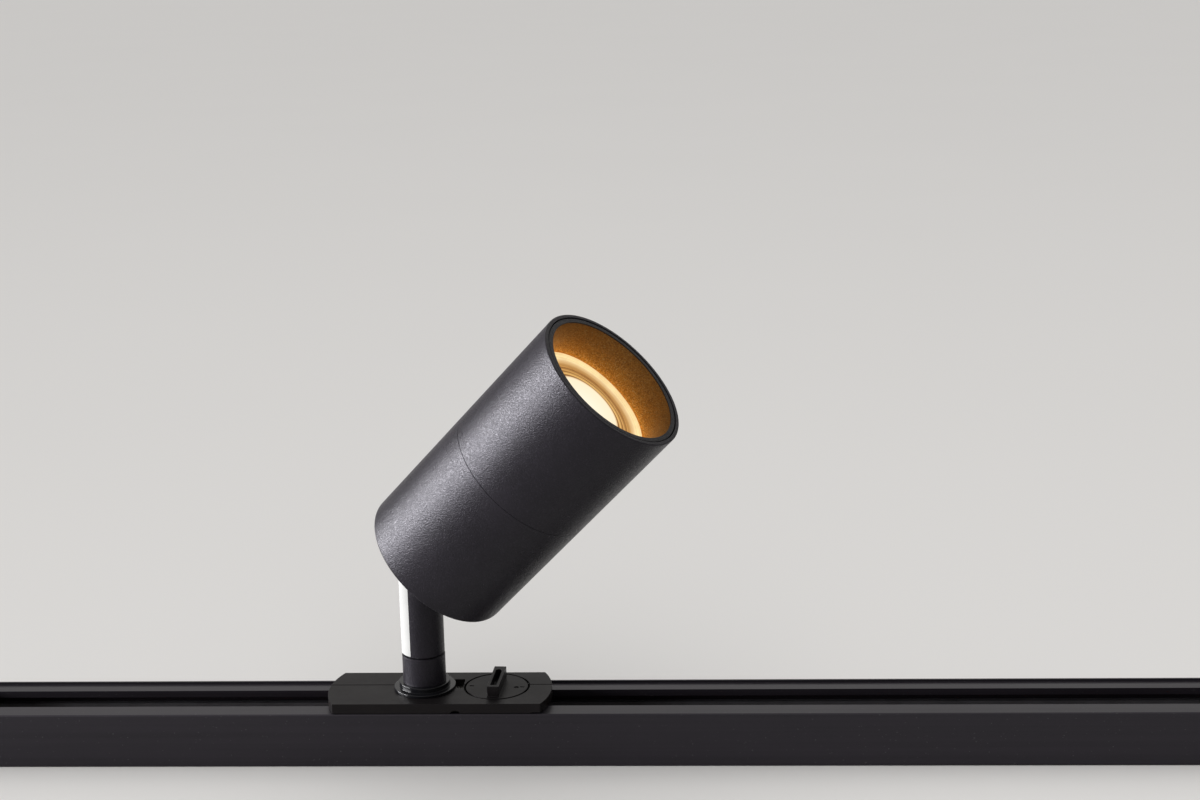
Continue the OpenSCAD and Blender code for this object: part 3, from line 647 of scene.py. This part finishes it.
def rounded(outline):
    """Points of a closed outline of (radius, z, rounding) with its corners curved."""
    points = []
    for i, (r, z, rounding) in enumerate(outline):
        here = Vector((r, z))
        if rounding == 0:
            points.append(here)
            continue
        before = Vector(outline[i - 1][:2]) - here
        after = Vector(outline[(i + 1) % len(outline)][:2]) - here
        cut = min(rounding, SHARE * min(before.length, after.length) / SUPPORT)
        start = here + before.normalized() * cut
        end = here + after.normalized() * cut
        points.append(here + before.normalized() * cut * SUPPORT)
        for step in range(CORNER_STEPS + 1):
            t = step / CORNER_STEPS
            points.append(start * (1 - t) ** 2 + here * 2 * t * (1 - t) + end * t**2)
        points.append(here + after.normalized() * cut * SUPPORT)
    return points


def turned(outline, at, sides=160):
    """Spins an outline about the z axis of a frame and returns the mesh."""
    shape = bmesh.new()
    points = rounded(outline)
    rings = []
    for k in range(sides):
        a = 2 * math.pi * k / sides
        rings.append([
            shape.verts.new(at @ Vector((p.x * math.cos(a), p.x * math.sin(a), p.y)))
            for p in points
        ])
    for k in range(sides):
        here, there = rings[k], rings[(k + 1) % sides]
        for i in range(len(points)):
            j = (i + 1) % len(points)
            if points[i].x or points[j].x:
                shape.faces.new((here[i], there[i], there[j], here[j]))
    bmesh.ops.remove_doubles(shape, verts=shape.verts, dist=WELD)
    bmesh.ops.recalc_face_normals(shape, faces=shape.faces)
    mesh = bpy.data.meshes.new("turned")
    shape.to_mesh(mesh)
    shape.free()
    return shaded(mesh)


# %% [markdown]
# ## Head tubes
# The head is two aluminium tubes of one diameter, screwed together so tightly
# that the joint is a hairline. The rear one has a floor, where the tongue of
# the knuckle is bolted on. Both are spun here from four or six corners.

# %% Head tubes
SEAM_EDGE = 0.13 * MM
bore, _, rear_low, rear_high = measure("rear_housing", at_head)
floor_top = measure("tongue_nut", at_head)[2]
stand_for("rear_tube_turned", "rear_housing", turned([
    (bore, rear_low, FINE),
    (tube_out, rear_low, 0.7 * MM),
    (tube_out, rear_high, SEAM_EDGE),
    (tube_in, rear_high, FINE),
    (tube_in, floor_top, 0.5 * MM),
    (bore, floor_top, FINE),
], at_head))
stand_for("front_tube_turned", "front_tube", turned([
    (tube_in, tube_low, FINE),
    (tube_out, tube_low, SEAM_EDGE),
    (tube_out, tube_high, 0.45 * MM),
    (tube_in, tube_high, 0.2 * MM),
], at_head))

# %% [markdown]
# ## Lip ring and gold cup
# Just inside the mouth a black ring holds the cup. A quarter of a millimetre
# of air between the ring and the tube draws the thin dark line round the mouth.
# The cup narrows a little from the ring to the lamp, so a lamp can drop in, and
# its rim stands inside the ring, so only a narrow black edge is left showing.

# %% Lip and cup
LIP_GAP = 0.25 * MM
LIP_REBATE = 1.4 * MM
LIP_EDGE = 0.4 * MM
CUP_WALL = 0.6 * MM
collar_r = lip_in + CUP_WALL
collar_top = lip_high - LIP_EDGE
stand_for("lip_ring_turned", "lip_ring", turned([
    (collar_r, lip_low, 0),
    (lip_out, lip_low, FINE),
    (lip_out, lip_high - LIP_REBATE, FINE),
    (lip_out - LIP_GAP, lip_high - LIP_REBATE, 0),
    (lip_out - LIP_GAP, lip_high, 0.3 * MM),
    (lip_in, lip_high, 0.4 * MM),
    (lip_in, collar_top, 0),
    (collar_r, collar_top, 0),
], at_head))
stand_for("glare_cup_turned", "glare_cup", turned([
    (cup_in, lamp_face, 0.2 * MM),
    (lip_in, collar_top, 0),
    (collar_r, collar_top, 0),
    (collar_r, cup_high, 0),
    (cup_out, cup_high, FINE),
    (cup_out, cup_high - MM, FINE),
    (collar_r, cup_high - MM, 0.2 * MM),
    (cup_in + CUP_WALL, lamp_face, 0),
    (cup_in + CUP_WALL, cup_low, FINE),
    (cup_in, cup_low, FINE),
], at_head))

# %% [markdown]
# ## Lamp front
# Seen from the side the lamp front is a stair of rings: the frosted rim, three
# narrow steps with grooves between them, and a slightly domed plate. The steps
# are written as pairs of radius and depth below the face, and the dome is a
# parabola, so the numbers stay few.

# %% Lamp front
_, lens_r, lens_low, lens_high = measure("lamp_lens", at_head)
STEPS = [(21.7, 0.7), (20.6, 1.2), (20.3, 1.9), (19.3, 1.9), (19.1, 1.4), (18.5, 1.4),
         (18.3, 2.0), (17.4, 2.0), (17.2, 1.5), (16.6, 1.5), (16.4, 2.0), (15.6, 2.0)]
DOME_R = 15.2 * MM
DOME_RISE = 0.7 * MM
DOME_DEPTH = 1.5 * MM
DOME_STEPS = 10
STAIR_EDGE = 0.07 * MM
dome = [
    (DOME_R * part, lamp_face - DOME_DEPTH + DOME_RISE * (1 - part**2), 0)
    for part in (1 - i / DOME_STEPS for i in range(DOME_STEPS + 1))
]
stair = [(r * MM, lamp_face - d * MM, STAIR_EDGE) for r, d in STEPS]
stand_for("lamp_front_plate", "lamp_lens", turned(
    [(0, lens_low, 0), (lens_r, lens_low, 0), (lens_r, lens_high, 0.2 * MM)] + stair + dome,
    at_head,
))

# %% [markdown]
# ## Foot of the post
# The flange is turned in two levels with a groove line between them, and each
# edge is a tight curve that draws one bright line.

# %% Flange
ring_in, ring_out, ring_low, ring_high = measure("flange_ring", at_post)
RIM = 1.05 * MM
STEP_IN = 2.05 * MM
FLANGE_SIDES = 128
stand_for("flange_ring_turned", "flange_ring", turned([
    (ring_in, ring_low, 0),
    (ring_out, ring_low, 0.12 * MM),
    (ring_out, ring_low + RIM, 0.28 * MM),
    (ring_out - STEP_IN, ring_low + RIM + 0.1 * MM, 0.12 * MM),
    (ring_out - STEP_IN, ring_high, 0.32 * MM),
    (ring_in, ring_high, 0.1 * MM),
], at_post, FLANGE_SIDES))
print("flange radius", round(ring_out / MM, 2), "mm")

# %% [markdown]
# ## Softening an edge
# The moulded shells, the lock and the track have too many corners to draw
# again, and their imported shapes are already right. Only their edges are too
# sharp. So each is copied, its loose triangles are merged and made into whole
# faces, and a Bevel modifier rounds what is left of the creases, less on the
# drawn track than on the mouldings. A Weighted Normal modifier then keeps the
# large faces flat in shading. Both are applied at once, so that the piece is a
# plain mesh. The rim of the lock disc also draws in a little.

# %% Softened copies
FLAT = math.radians(1)
CREASE = math.radians(40)
FIT = 0.01 * MM
RIM_BAND = 0.4 * MM  # how far in from the rim of the lock disc its edge reaches
RIM_EASE = 0.3 * MM  # how much the rim draws in, so that its seam shows dark


def plain(obj):
    """The evaluated shape of a scratch object as a plain mesh; the object goes away."""
    bpy.context.view_layer.update()
    graph = bpy.context.evaluated_depsgraph_get()
    mesh = bpy.data.meshes.new_from_object(obj.evaluated_get(graph))
    obj.modifiers.clear()
    bpy.data.objects.remove(obj)
    return mesh


def merged(node):
    """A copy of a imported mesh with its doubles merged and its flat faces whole."""
    shape = bmesh.new()
    shape.from_mesh(nodes[node].data)
    bmesh.ops.remove_doubles(shape, verts=shape.verts, dist=MERGE)
    bmesh.ops.dissolve_limit(
        shape, angle_limit=FLAT, verts=shape.verts, edges=shape.edges, delimit={"NORMAL"}
    )
    mesh = bpy.data.meshes.new(node + "_merged")
    shape.to_mesh(mesh)
    shape.free()
    return mesh


def softened(mesh, width, segments=3):
    scratch = bpy.data.objects.new("scratch", mesh)
    bpy.context.collection.objects.link(scratch)
    bevel = scratch.modifiers.new("soft_edges", "BEVEL")
    bevel.width = width
    bevel.segments = segments
    bevel.limit_method = "ANGLE"
    bevel.angle_limit = CREASE
    bevel.use_clamp_overlap = False
    scratch.data.polygons.foreach_set("use_smooth", [True] * len(scratch.data.polygons))
    flatten = scratch.modifiers.new("flat_faces", "WEIGHTED_NORMAL")
    flatten.weight = 100
    return plain(scratch)


MOULDED_EDGE = 0.22 * MM
DRAWN_EDGE = 0.1 * MM
for node in ("adapter_front_shell", "adapter_back_shell", "end_cap", "live_end_box",
             "live_end_cover"):
    stand_for(node + "_soft", node, softened(merged(node), MOULDED_EDGE))
knob = softened(merged("lock_knob"), MOULDED_EDGE)
_, disc_r, _, _ = measure("lock_knob", at_lock)
for v in knob.vertices:
    spot = at_lock.inverted() @ v.co
    reach = math.hypot(spot.x, spot.y)
    if reach > disc_r - RIM_BAND:
        ease = 1 - RIM_EASE / reach
        v.co = at_lock @ Vector((spot.x * ease, spot.y * ease, spot.z))
stand_for("lock_knob_soft", "lock_knob", knob)

# %% [markdown]
# ## Track
# The top of the track has one lip that is plain and one with a groove, which
# keeps an adapter from being put in the wrong way round. From low down only the
# far wall of that groove shows, as a dark line along the whole track. The packed
# groove is a narrow slit, so its walls are moved apart to the width of a real
# one, leaving a thin rim at the back.

# %% Track
GROOVE_LEDGE = 0.5 * MM
GROOVE_RIM = 0.9 * MM
GROOVE_DROP = 0.45 * MM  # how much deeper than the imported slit
LIP_SKIN = 1.3 * MM  # deeper than the slit, shallower than the lip
drawn = merged("track_extrusion")
top = max(v.co.z for v in drawn.vertices)
lip = [v for v in drawn.vertices if v.co.z > top - LIP_SKIN]
levels = sorted({round(v.co.y / MM, 2) for v in lip})
step_y, slit_front, slit_back, back = [y * MM for y in levels[-4:]]
slit_floor = min(v.co.z for v in lip)
for v in lip:
    if v.co.z < slit_floor + FIT:
        v.co.z -= GROOVE_DROP
    if abs(v.co.y - slit_front) < FIT:
        v.co.y = step_y + GROOVE_LEDGE
    if abs(v.co.y - slit_back) < FIT:
        v.co.y = back - GROOVE_RIM
stand_for("track_extrusion_soft", "track_extrusion", softened(drawn, DRAWN_EDGE))

# %% [markdown]
# ## Growing pieces with Geometry Nodes
# Screws and leads repeat: the same shape again and again, in slightly different
# sizes. A Geometry Nodes tree holds such a shape once, with its sizes as named
# inputs. The class below builds a tree with the same node method as the
# materials, and `grow` runs it on a scratch mesh and keeps only the result.

# %% Trees with named sizes
SOCKETS = {int: "NodeSocketInt", float: "NodeSocketFloat", tuple: "NodeSocketVector"}


class Shape(Graph):
    """A Geometry Nodes tree whose sizes are inputs of the tree."""

    def __init__(self, name, **sizes):
        super().__init__(bpy.data.node_groups.new(name, "GeometryNodeTree"))
        face = self.tree.interface
        face.new_socket("Geometry", in_out="INPUT", socket_type="NodeSocketGeometry")
        face.new_socket("Geometry", in_out="OUTPUT", socket_type="NodeSocketGeometry")
        face.new_socket("Finish", in_out="INPUT", socket_type="NodeSocketMaterial")
        for key, value in sizes.items():
            socket = face.new_socket(key, in_out="INPUT", socket_type=SOCKETS[type(value)])
            socket.default_value = value
        self.inputs = self.tree.nodes.new("NodeGroupInput").outputs
        self.outlet = self.tree.nodes.new("NodeGroupOutput")

    def size(self, key):
        return Wire(self, self.inputs[key])

    def vector(self, x=0.0, y=0.0, z=0.0):
        return self.node("ShaderNodeCombineXYZ", {}, {"X": x, "Y": y, "Z": z})

    def joined(self, *parts):
        made = self.tree.nodes.new("GeometryNodeJoinGeometry")
        for part in parts:
            self.tree.links.new(part.socket, made.inputs[0])
        return Wire(self, made.outputs[0])

    def moved(self, part, to=None, turn=None):
        values = {"Geometry": part}
        if to is not None:
            values["Translation"] = to
        if turn is not None:
            values["Rotation"] = turn
        return self.node("GeometryNodeTransform", {}, values)

    def end(self, geometry):
        real = self.node("GeometryNodeRealizeInstances", {}, {"Geometry": geometry})
        values = {"Geometry": real, "Material": self.size("Finish")}
        self.feed(self.outlet.inputs[0], self.node("GeometryNodeSetMaterial", {}, values))


def grow(shape, mesh, finish, **sizes):
    """Runs a tree on a mesh with its sizes set and returns the plain result."""
    scratch = bpy.data.objects.new("scratch", mesh)
    bpy.context.collection.objects.link(scratch)
    modifier = scratch.modifiers.new("grow", "NODES")
    modifier.node_group = shape.tree
    keys = {s.name: s.identifier for s in shape.tree.interface.items_tree if s.in_out == "INPUT"}
    modifier[keys["Finish"]] = finish
    for key, value in sizes.items():
        modifier[keys[key]] = value
    return plain(scratch)


# %% [markdown]
# ## One tree for every screw
# The fixture is held together by small machine screws: a pan head with a cross
# recess, and a shank with a thread. The thread is a spiral with a three-sided
# outline swept along it, which stays light, and the recess is cut by a Boolean
# of two crossed blades, once, before the screw is repeated on its points.

# %% Screw tree
PITCH = 0.5 * MM
CORE = 0.84  # radius under the thread, as a share of the shank's
RIDGE = 0.16  # the thread's own radius, as a share of the shank's
THREADED = 0.82  # of the length
THREAD_LOW = 0.94  # of the length, from the head down to the thread's first turn
STRAIGHT = 0.55  # of the head's height, below its crown
CROWN = 0.7  # radius of the crown's top, as a share of the head's
BLADE_LONG = 1.15  # of the head's radius, as is the next
BLADE_WIDE = 0.26
BLADE_HIGH = 1.2  # of the head's height
SHANK_SIDES = 20
HEAD_SIDES = 32


def screw_tree():
    s = Shape("pan_head_screw", shank=0.001, head=0.002, rise=0.0012, length=0.006,
              turn=(0.0, 0.0, 0.0))
    head, rise, length = s.size("head"), s.size("rise"), s.size("length")
    core = s.size("shank") * CORE
    shank = s.node("GeometryNodeMeshCylinder", {}, {
        "Vertices": SHANK_SIDES, "Radius": core, "Depth": length,
    }, "Mesh")
    shank = s.moved(shank, s.vector(z=length * -0.5))
    spiral = s.node("GeometryNodeCurveSpiral", {}, {
        "Resolution": 16, "Rotations": length * THREADED * (1 / PITCH),
        "Start Radius": core, "End Radius": core, "Height": length * THREADED,
    })
    ridge = s.node("GeometryNodeCurvePrimitiveCircle", {}, {
        "Resolution": 3, "Radius": s.size("shank") * RIDGE,
    })
    thread = s.node("GeometryNodeCurveToMesh", {}, {
        "Curve": spiral, "Profile Curve": ridge, "Fill Caps": True,
    })
    thread = s.moved(thread, s.vector(z=length * -THREAD_LOW))
    skirt = s.node("GeometryNodeMeshCylinder", {}, {
        "Vertices": HEAD_SIDES, "Radius": head, "Depth": rise * STRAIGHT,
    }, "Mesh")
    skirt = s.moved(skirt, s.vector(z=rise * (STRAIGHT / 2)))
    crown = s.node("GeometryNodeMeshCone", {}, {
        "Vertices": HEAD_SIDES, "Radius Top": head * CROWN, "Radius Bottom": head,
        "Depth": rise * (1 - STRAIGHT),
    }, "Mesh")
    crown = s.moved(crown, s.vector(z=rise * STRAIGHT))
    whole = s.node("GeometryNodeMeshBoolean", {"operation": "UNION"},
                   {"Mesh 2": s.joined(skirt, crown)}, "Mesh")
    blades = []
    for x, y in ((BLADE_LONG, BLADE_WIDE), (BLADE_WIDE, BLADE_LONG)):
        blade = s.node("GeometryNodeMeshCube", {}, {
            "Size": s.vector(head * x, head * y, rise * BLADE_HIGH),
        }, "Mesh")
        blades.append(s.moved(blade, s.vector(z=rise)))
    cut = s.node("GeometryNodeMeshBoolean", {"operation": "DIFFERENCE"},
                 {"Mesh 1": whole, "Mesh 2": s.joined(*blades)}, "Mesh")
    one = s.joined(shank, thread, cut)
    places = s.node("GeometryNodeInstanceOnPoints", {}, {
        "Points": s.size("Geometry"), "Instance": one, "Rotation": s.size("turn"),
    })
    s.end(places)
    return s


# %% [markdown]
# ## Finding what repeats
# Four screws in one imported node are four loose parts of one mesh. Walking from
# point to point along the edges gathers each part. Its longest side is its
# axis, and its radius at each level tells the head from the shank.

# %% Loose parts
def loose_parts(node, at):
    """The points of each loose part of a node, in a frame, lowest part first."""
    back = at.inverted()
    shape = bmesh.new()
    shape.from_mesh(nodes[node].data)
    bmesh.ops.remove_doubles(shape, verts=shape.verts, dist=MERGE)
    unseen, parts = set(shape.verts), []
    while unseen:
        part, edge = set(), {next(iter(unseen))}
        while edge:
            part |= edge
            edge = {e.other_vert(v) for v in edge for e in v.link_edges} - part
        unseen -= part
        parts.append([back @ v.co for v in part])
    shape.free()
    return sorted(parts, key=lambda points: tuple(min(points, key=tuple)))


def levels_of(points):
    """Axis, middle, and the largest radius at each level along the axis."""
    low = [min(p[i] for p in points) for i in range(3)]
    high = [max(p[i] for p in points) for i in range(3)]
    axis = max(range(3), key=lambda i: high[i] - low[i])
    middle = Vector([(a + b) / 2 for a, b in zip(low, high)])
    reach = {}
    for p in points:
        away = p - middle
        away[axis] = 0
        reach[p[axis]] = max(reach.get(p[axis], 0.0), away.length)
    return axis, middle, reach


# %% Sizes of a screw
HEAD_BAND = 0.98  # a level this near to the widest radius belongs to the head


def screw_sizes(points):
    """Where the head sits, which way it faces, and the sizes of the screw."""
    axis, seat, reach = levels_of(points)
    head_r = max(reach.values())
    head = [level for level, r in reach.items() if r > HEAD_BAND * head_r]
    sense = 1 if sum(head) / len(head) > seat[axis] else -1
    tip, top = sorted((min(reach), max(reach)), reverse=sense < 0)
    seat[axis] = min(head, key=lambda level: abs(level - tip))
    length = abs(seat[axis] - tip)
    shank_r = max(r for level, r in reach.items() if abs(level - tip) < length / 2)
    sizes = {"shank": shank_r, "head": head_r, "rise": abs(top - seat[axis]), "length": length}
    return seat, (axis, sense), sizes


# %% Grow the screws
pan_head_screw = screw_tree()
QUARTER = math.pi / 2
TURNS = {
    (0, 1): (0, QUARTER, 0), (0, -1): (0, -QUARTER, 0),
    (1, 1): (-QUARTER, 0, 0), (1, -1): (QUARTER, 0, 0),
    (2, 1): (0, 0, 0), (2, -1): (math.pi, 0, 0),
}
SCREWS = {
    "end_cap_screw": at_track, "cover_screws": at_track, "terminal_screws": at_track,
    "shell_screws": at_track, "rotor_screw": at_lock,
    "bracket_screws": at_head, "holder_screws": at_head,
}
for node, at in SCREWS.items():
    found = [screw_sizes(part) for part in loose_parts(node, at)]
    points = bpy.data.meshes.new("points")
    points.from_pydata([seat for seat, _, _ in found], [], [])
    _, facing, sizes = found[0]
    mesh = grow(pan_head_screw, points, finishes[slot_of[node]], turn=TURNS[facing], **sizes)
    mesh.transform(at)
    stand_for(node + "_grown", node, shaded(mesh))
    print(len(found), "of", round(sizes["length"] / MM, 1), "mm, head", round(sizes["head"] / MM, 2))

# %% [markdown]
# ## Leads
# Two insulated leads run from the adapter up through the post and the knuckle
# to the lamp holder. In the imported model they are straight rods. A lead pulled
# through by hand never lies quite straight, so the tree below draws a line
# between its two ends, bows it a little and sweeps a round section along it.

# %% Lead tree
LEAD_POINTS = 24
LEAD_SIDES = 20


def lead_tree():
    s = Shape("lead", start=(0.0, 0.0, 0.0), end=(0.0, 0.0, 1.0), radius=0.001, bow=0.0001)
    line = s.node("GeometryNodeCurvePrimitiveLine", {}, {0: s.size("start"), 1: s.size("end")})
    line = s.node("GeometryNodeResampleCurve", {}, {"Curve": line, "Count": LEAD_POINTS})
    share = s.node("GeometryNodeSplineParameter")
    hump = share * (1 - share) * 4
    wave = s.node("ShaderNodeMath", {"operation": "SINE"}, {0: share * (3 * math.pi)})
    swing = hump * wave * s.size("bow")
    bowed = s.node("GeometryNodeSetPosition", {}, {
        "Geometry": line, "Offset": s.vector(swing, swing, swing),
    })
    section = s.node("GeometryNodeCurvePrimitiveCircle", {}, {
        "Resolution": LEAD_SIDES, "Radius": s.size("radius"),
    })
    s.end(s.node("GeometryNodeCurveToMesh", {}, {
        "Curve": bowed, "Profile Curve": section, "Fill Caps": True,
    }))
    return s


# %% Pull the leads through
lead = lead_tree()
LEADS = {"link_leads": at_track, "post_wires": at_track, "head_wires": at_head}
for node, at in LEADS.items():
    both = bmesh.new()
    for part in loose_parts(node, at):
        axis, middle, reach = levels_of(part)
        ends = [middle.copy(), middle.copy()]
        ends[0][axis], ends[1][axis] = min(reach), max(reach)
        one = grow(
            lead, bpy.data.meshes.new("empty"), finishes[slot_of[node]],
            start=tuple(ends[0]), end=tuple(ends[1]), radius=max(reach.values()),
        )
        both.from_mesh(one)
    mesh = bpy.data.meshes.new(node)
    both.to_mesh(mesh)
    both.free()
    mesh.transform(at)
    stand_for(node + "_bowed", node, shaded(mesh))

# %% [markdown]
# ## Floor and light
# A plain pale floor takes the place of a shop's white table. The world is a
# soft dome, bright overhead and dim at the horizon: it lights the floor evenly
# as far as it goes, and leaves the flanks of the black head dark. A long low
# softbox on the left draws the highlight down the head. Light linking keeps it
# off the floor, as a black card would in a studio. A dim wide panel far behind
# gives the flat tops of the track something to reflect, and a fill over the
# near side lights only the floor.

# %% Floor
FLOOR_SIZE = 40.0


def floor_mesh(size):
    half = size / 2
    mesh = bpy.data.meshes.new("floor")
    corners = [(-half, -half, 0), (half, -half, 0), (half, half, 0), (-half, half, 0)]
    mesh.from_pydata(corners, [], [(0, 1, 2, 3)])
    return mesh


def floor_finish(name):
    p = Finish(name, Specular_IOR_Level=0.15)
    cloud = p.noise(p.spot(), 3, 2)
    return p.set(
        Base_Color=p.mix(cloud, (0.79, 0.785, 0.78, 1), (0.8, 0.795, 0.79, 1)),
        Roughness=0.7 + cloud * 0.05,
    )


floor = bpy.data.objects.new("floor", floor_mesh(FLOOR_SIZE))
bpy.context.collection.objects.link(floor)
floor.data.materials.append(floor_finish("pale_floor"))
floor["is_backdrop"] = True
print("floor", FLOOR_SIZE, "m square")

# %% Dome of light
HORIZON = 0.12
ZENITH = 1.0
DIM_BELOW = 0.1  # height on the dome, as is the next
FULL_ABOVE = 0.9
world = bpy.data.worlds.new("studio")
world.use_nodes = True
bpy.context.scene.world = world
dome_graph = Graph(world.node_tree)
direction = dome_graph.node("ShaderNodeTexCoord", out="Generated")
height = dome_graph.node("ShaderNodeSeparateXYZ", {}, {0: direction}, "Z")
bright = dome_graph.node(
    "ShaderNodeMapRange",
    {"interpolation_type": "SMOOTHSTEP"},
    {"Value": height, 1: DIM_BELOW, 2: FULL_ABOVE, 3: HORIZON, 4: ZENITH},
)
backdrop = world.node_tree.nodes["Background"]
backdrop.inputs["Color"].default_value = (1.0, 0.985, 0.965, 1)
dome_graph.feed(backdrop.inputs["Strength"], bright)
bpy.context.scene.view_settings.view_transform = "Standard"
print("dome from", HORIZON, "to", ZENITH)


# %% Softbox
def softbox(name, at, look, size, radiance, colour):
    """A rectangular light; its power follows from its area and its brightness."""
    data = bpy.data.lights.new(name, "AREA")
    data.shape = "RECTANGLE"
    data.size, data.size_y = size
    data.energy = radiance * math.pi * size[0] * size[1]
    data.color = colour
    light = bpy.data.objects.new(name, data)
    aim = (Vector(look) - Vector(at)).to_track_quat("-Z", "Y")
    light.matrix_world = Matrix.Translation(at) @ aim.to_matrix().to_4x4()
    bpy.context.collection.objects.link(light)
    light.visible_camera = False
    return light


def light_only(light, objects):
    """Flags a light off everything but the given objects."""
    light.light_linking.receiver_collection = bpy.data.collections.new("lit_by_" + light.name)
    for obj in objects:
        light.light_linking.receiver_collection.objects.link(obj)


strip = softbox(
    "left_softbox", at=(-2.2, -0.15, 0.5), look=pivot, size=(1.9, 0.6),
    radiance=46.0, colour=(0.98, 0.98, 1.0),
)
panel = softbox(
    "back_panel", at=(0.2, 2.4, 1.1), look=pivot, size=(3.6, 1.3),
    radiance=0.42, colour=(1.0, 0.98, 0.95),
)
fill = softbox(
    "table_fill", at=(0.0, -1.6, 1.6), look=pivot, size=(2.0, 2.0),
    radiance=1.0, colour=(1.0, 0.99, 0.98),
)
light_only(strip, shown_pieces())
light_only(panel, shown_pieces())
light_only(fill, [floor])

# %% [markdown]
# ## Sizes kept
# The visual model should stay inside the imported one, so how far it outgrows
# the imported box on each axis is printed.

# %% Sizes
visual_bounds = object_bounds()
grown = [
    max(cad_bounds[0][i] - visual_bounds[0][i], visual_bounds[1][i] - cad_bounds[1][i])
    for i in range(3)
]
print("outgrown by, mm:", [round(g / MM, 3) for g in grown])
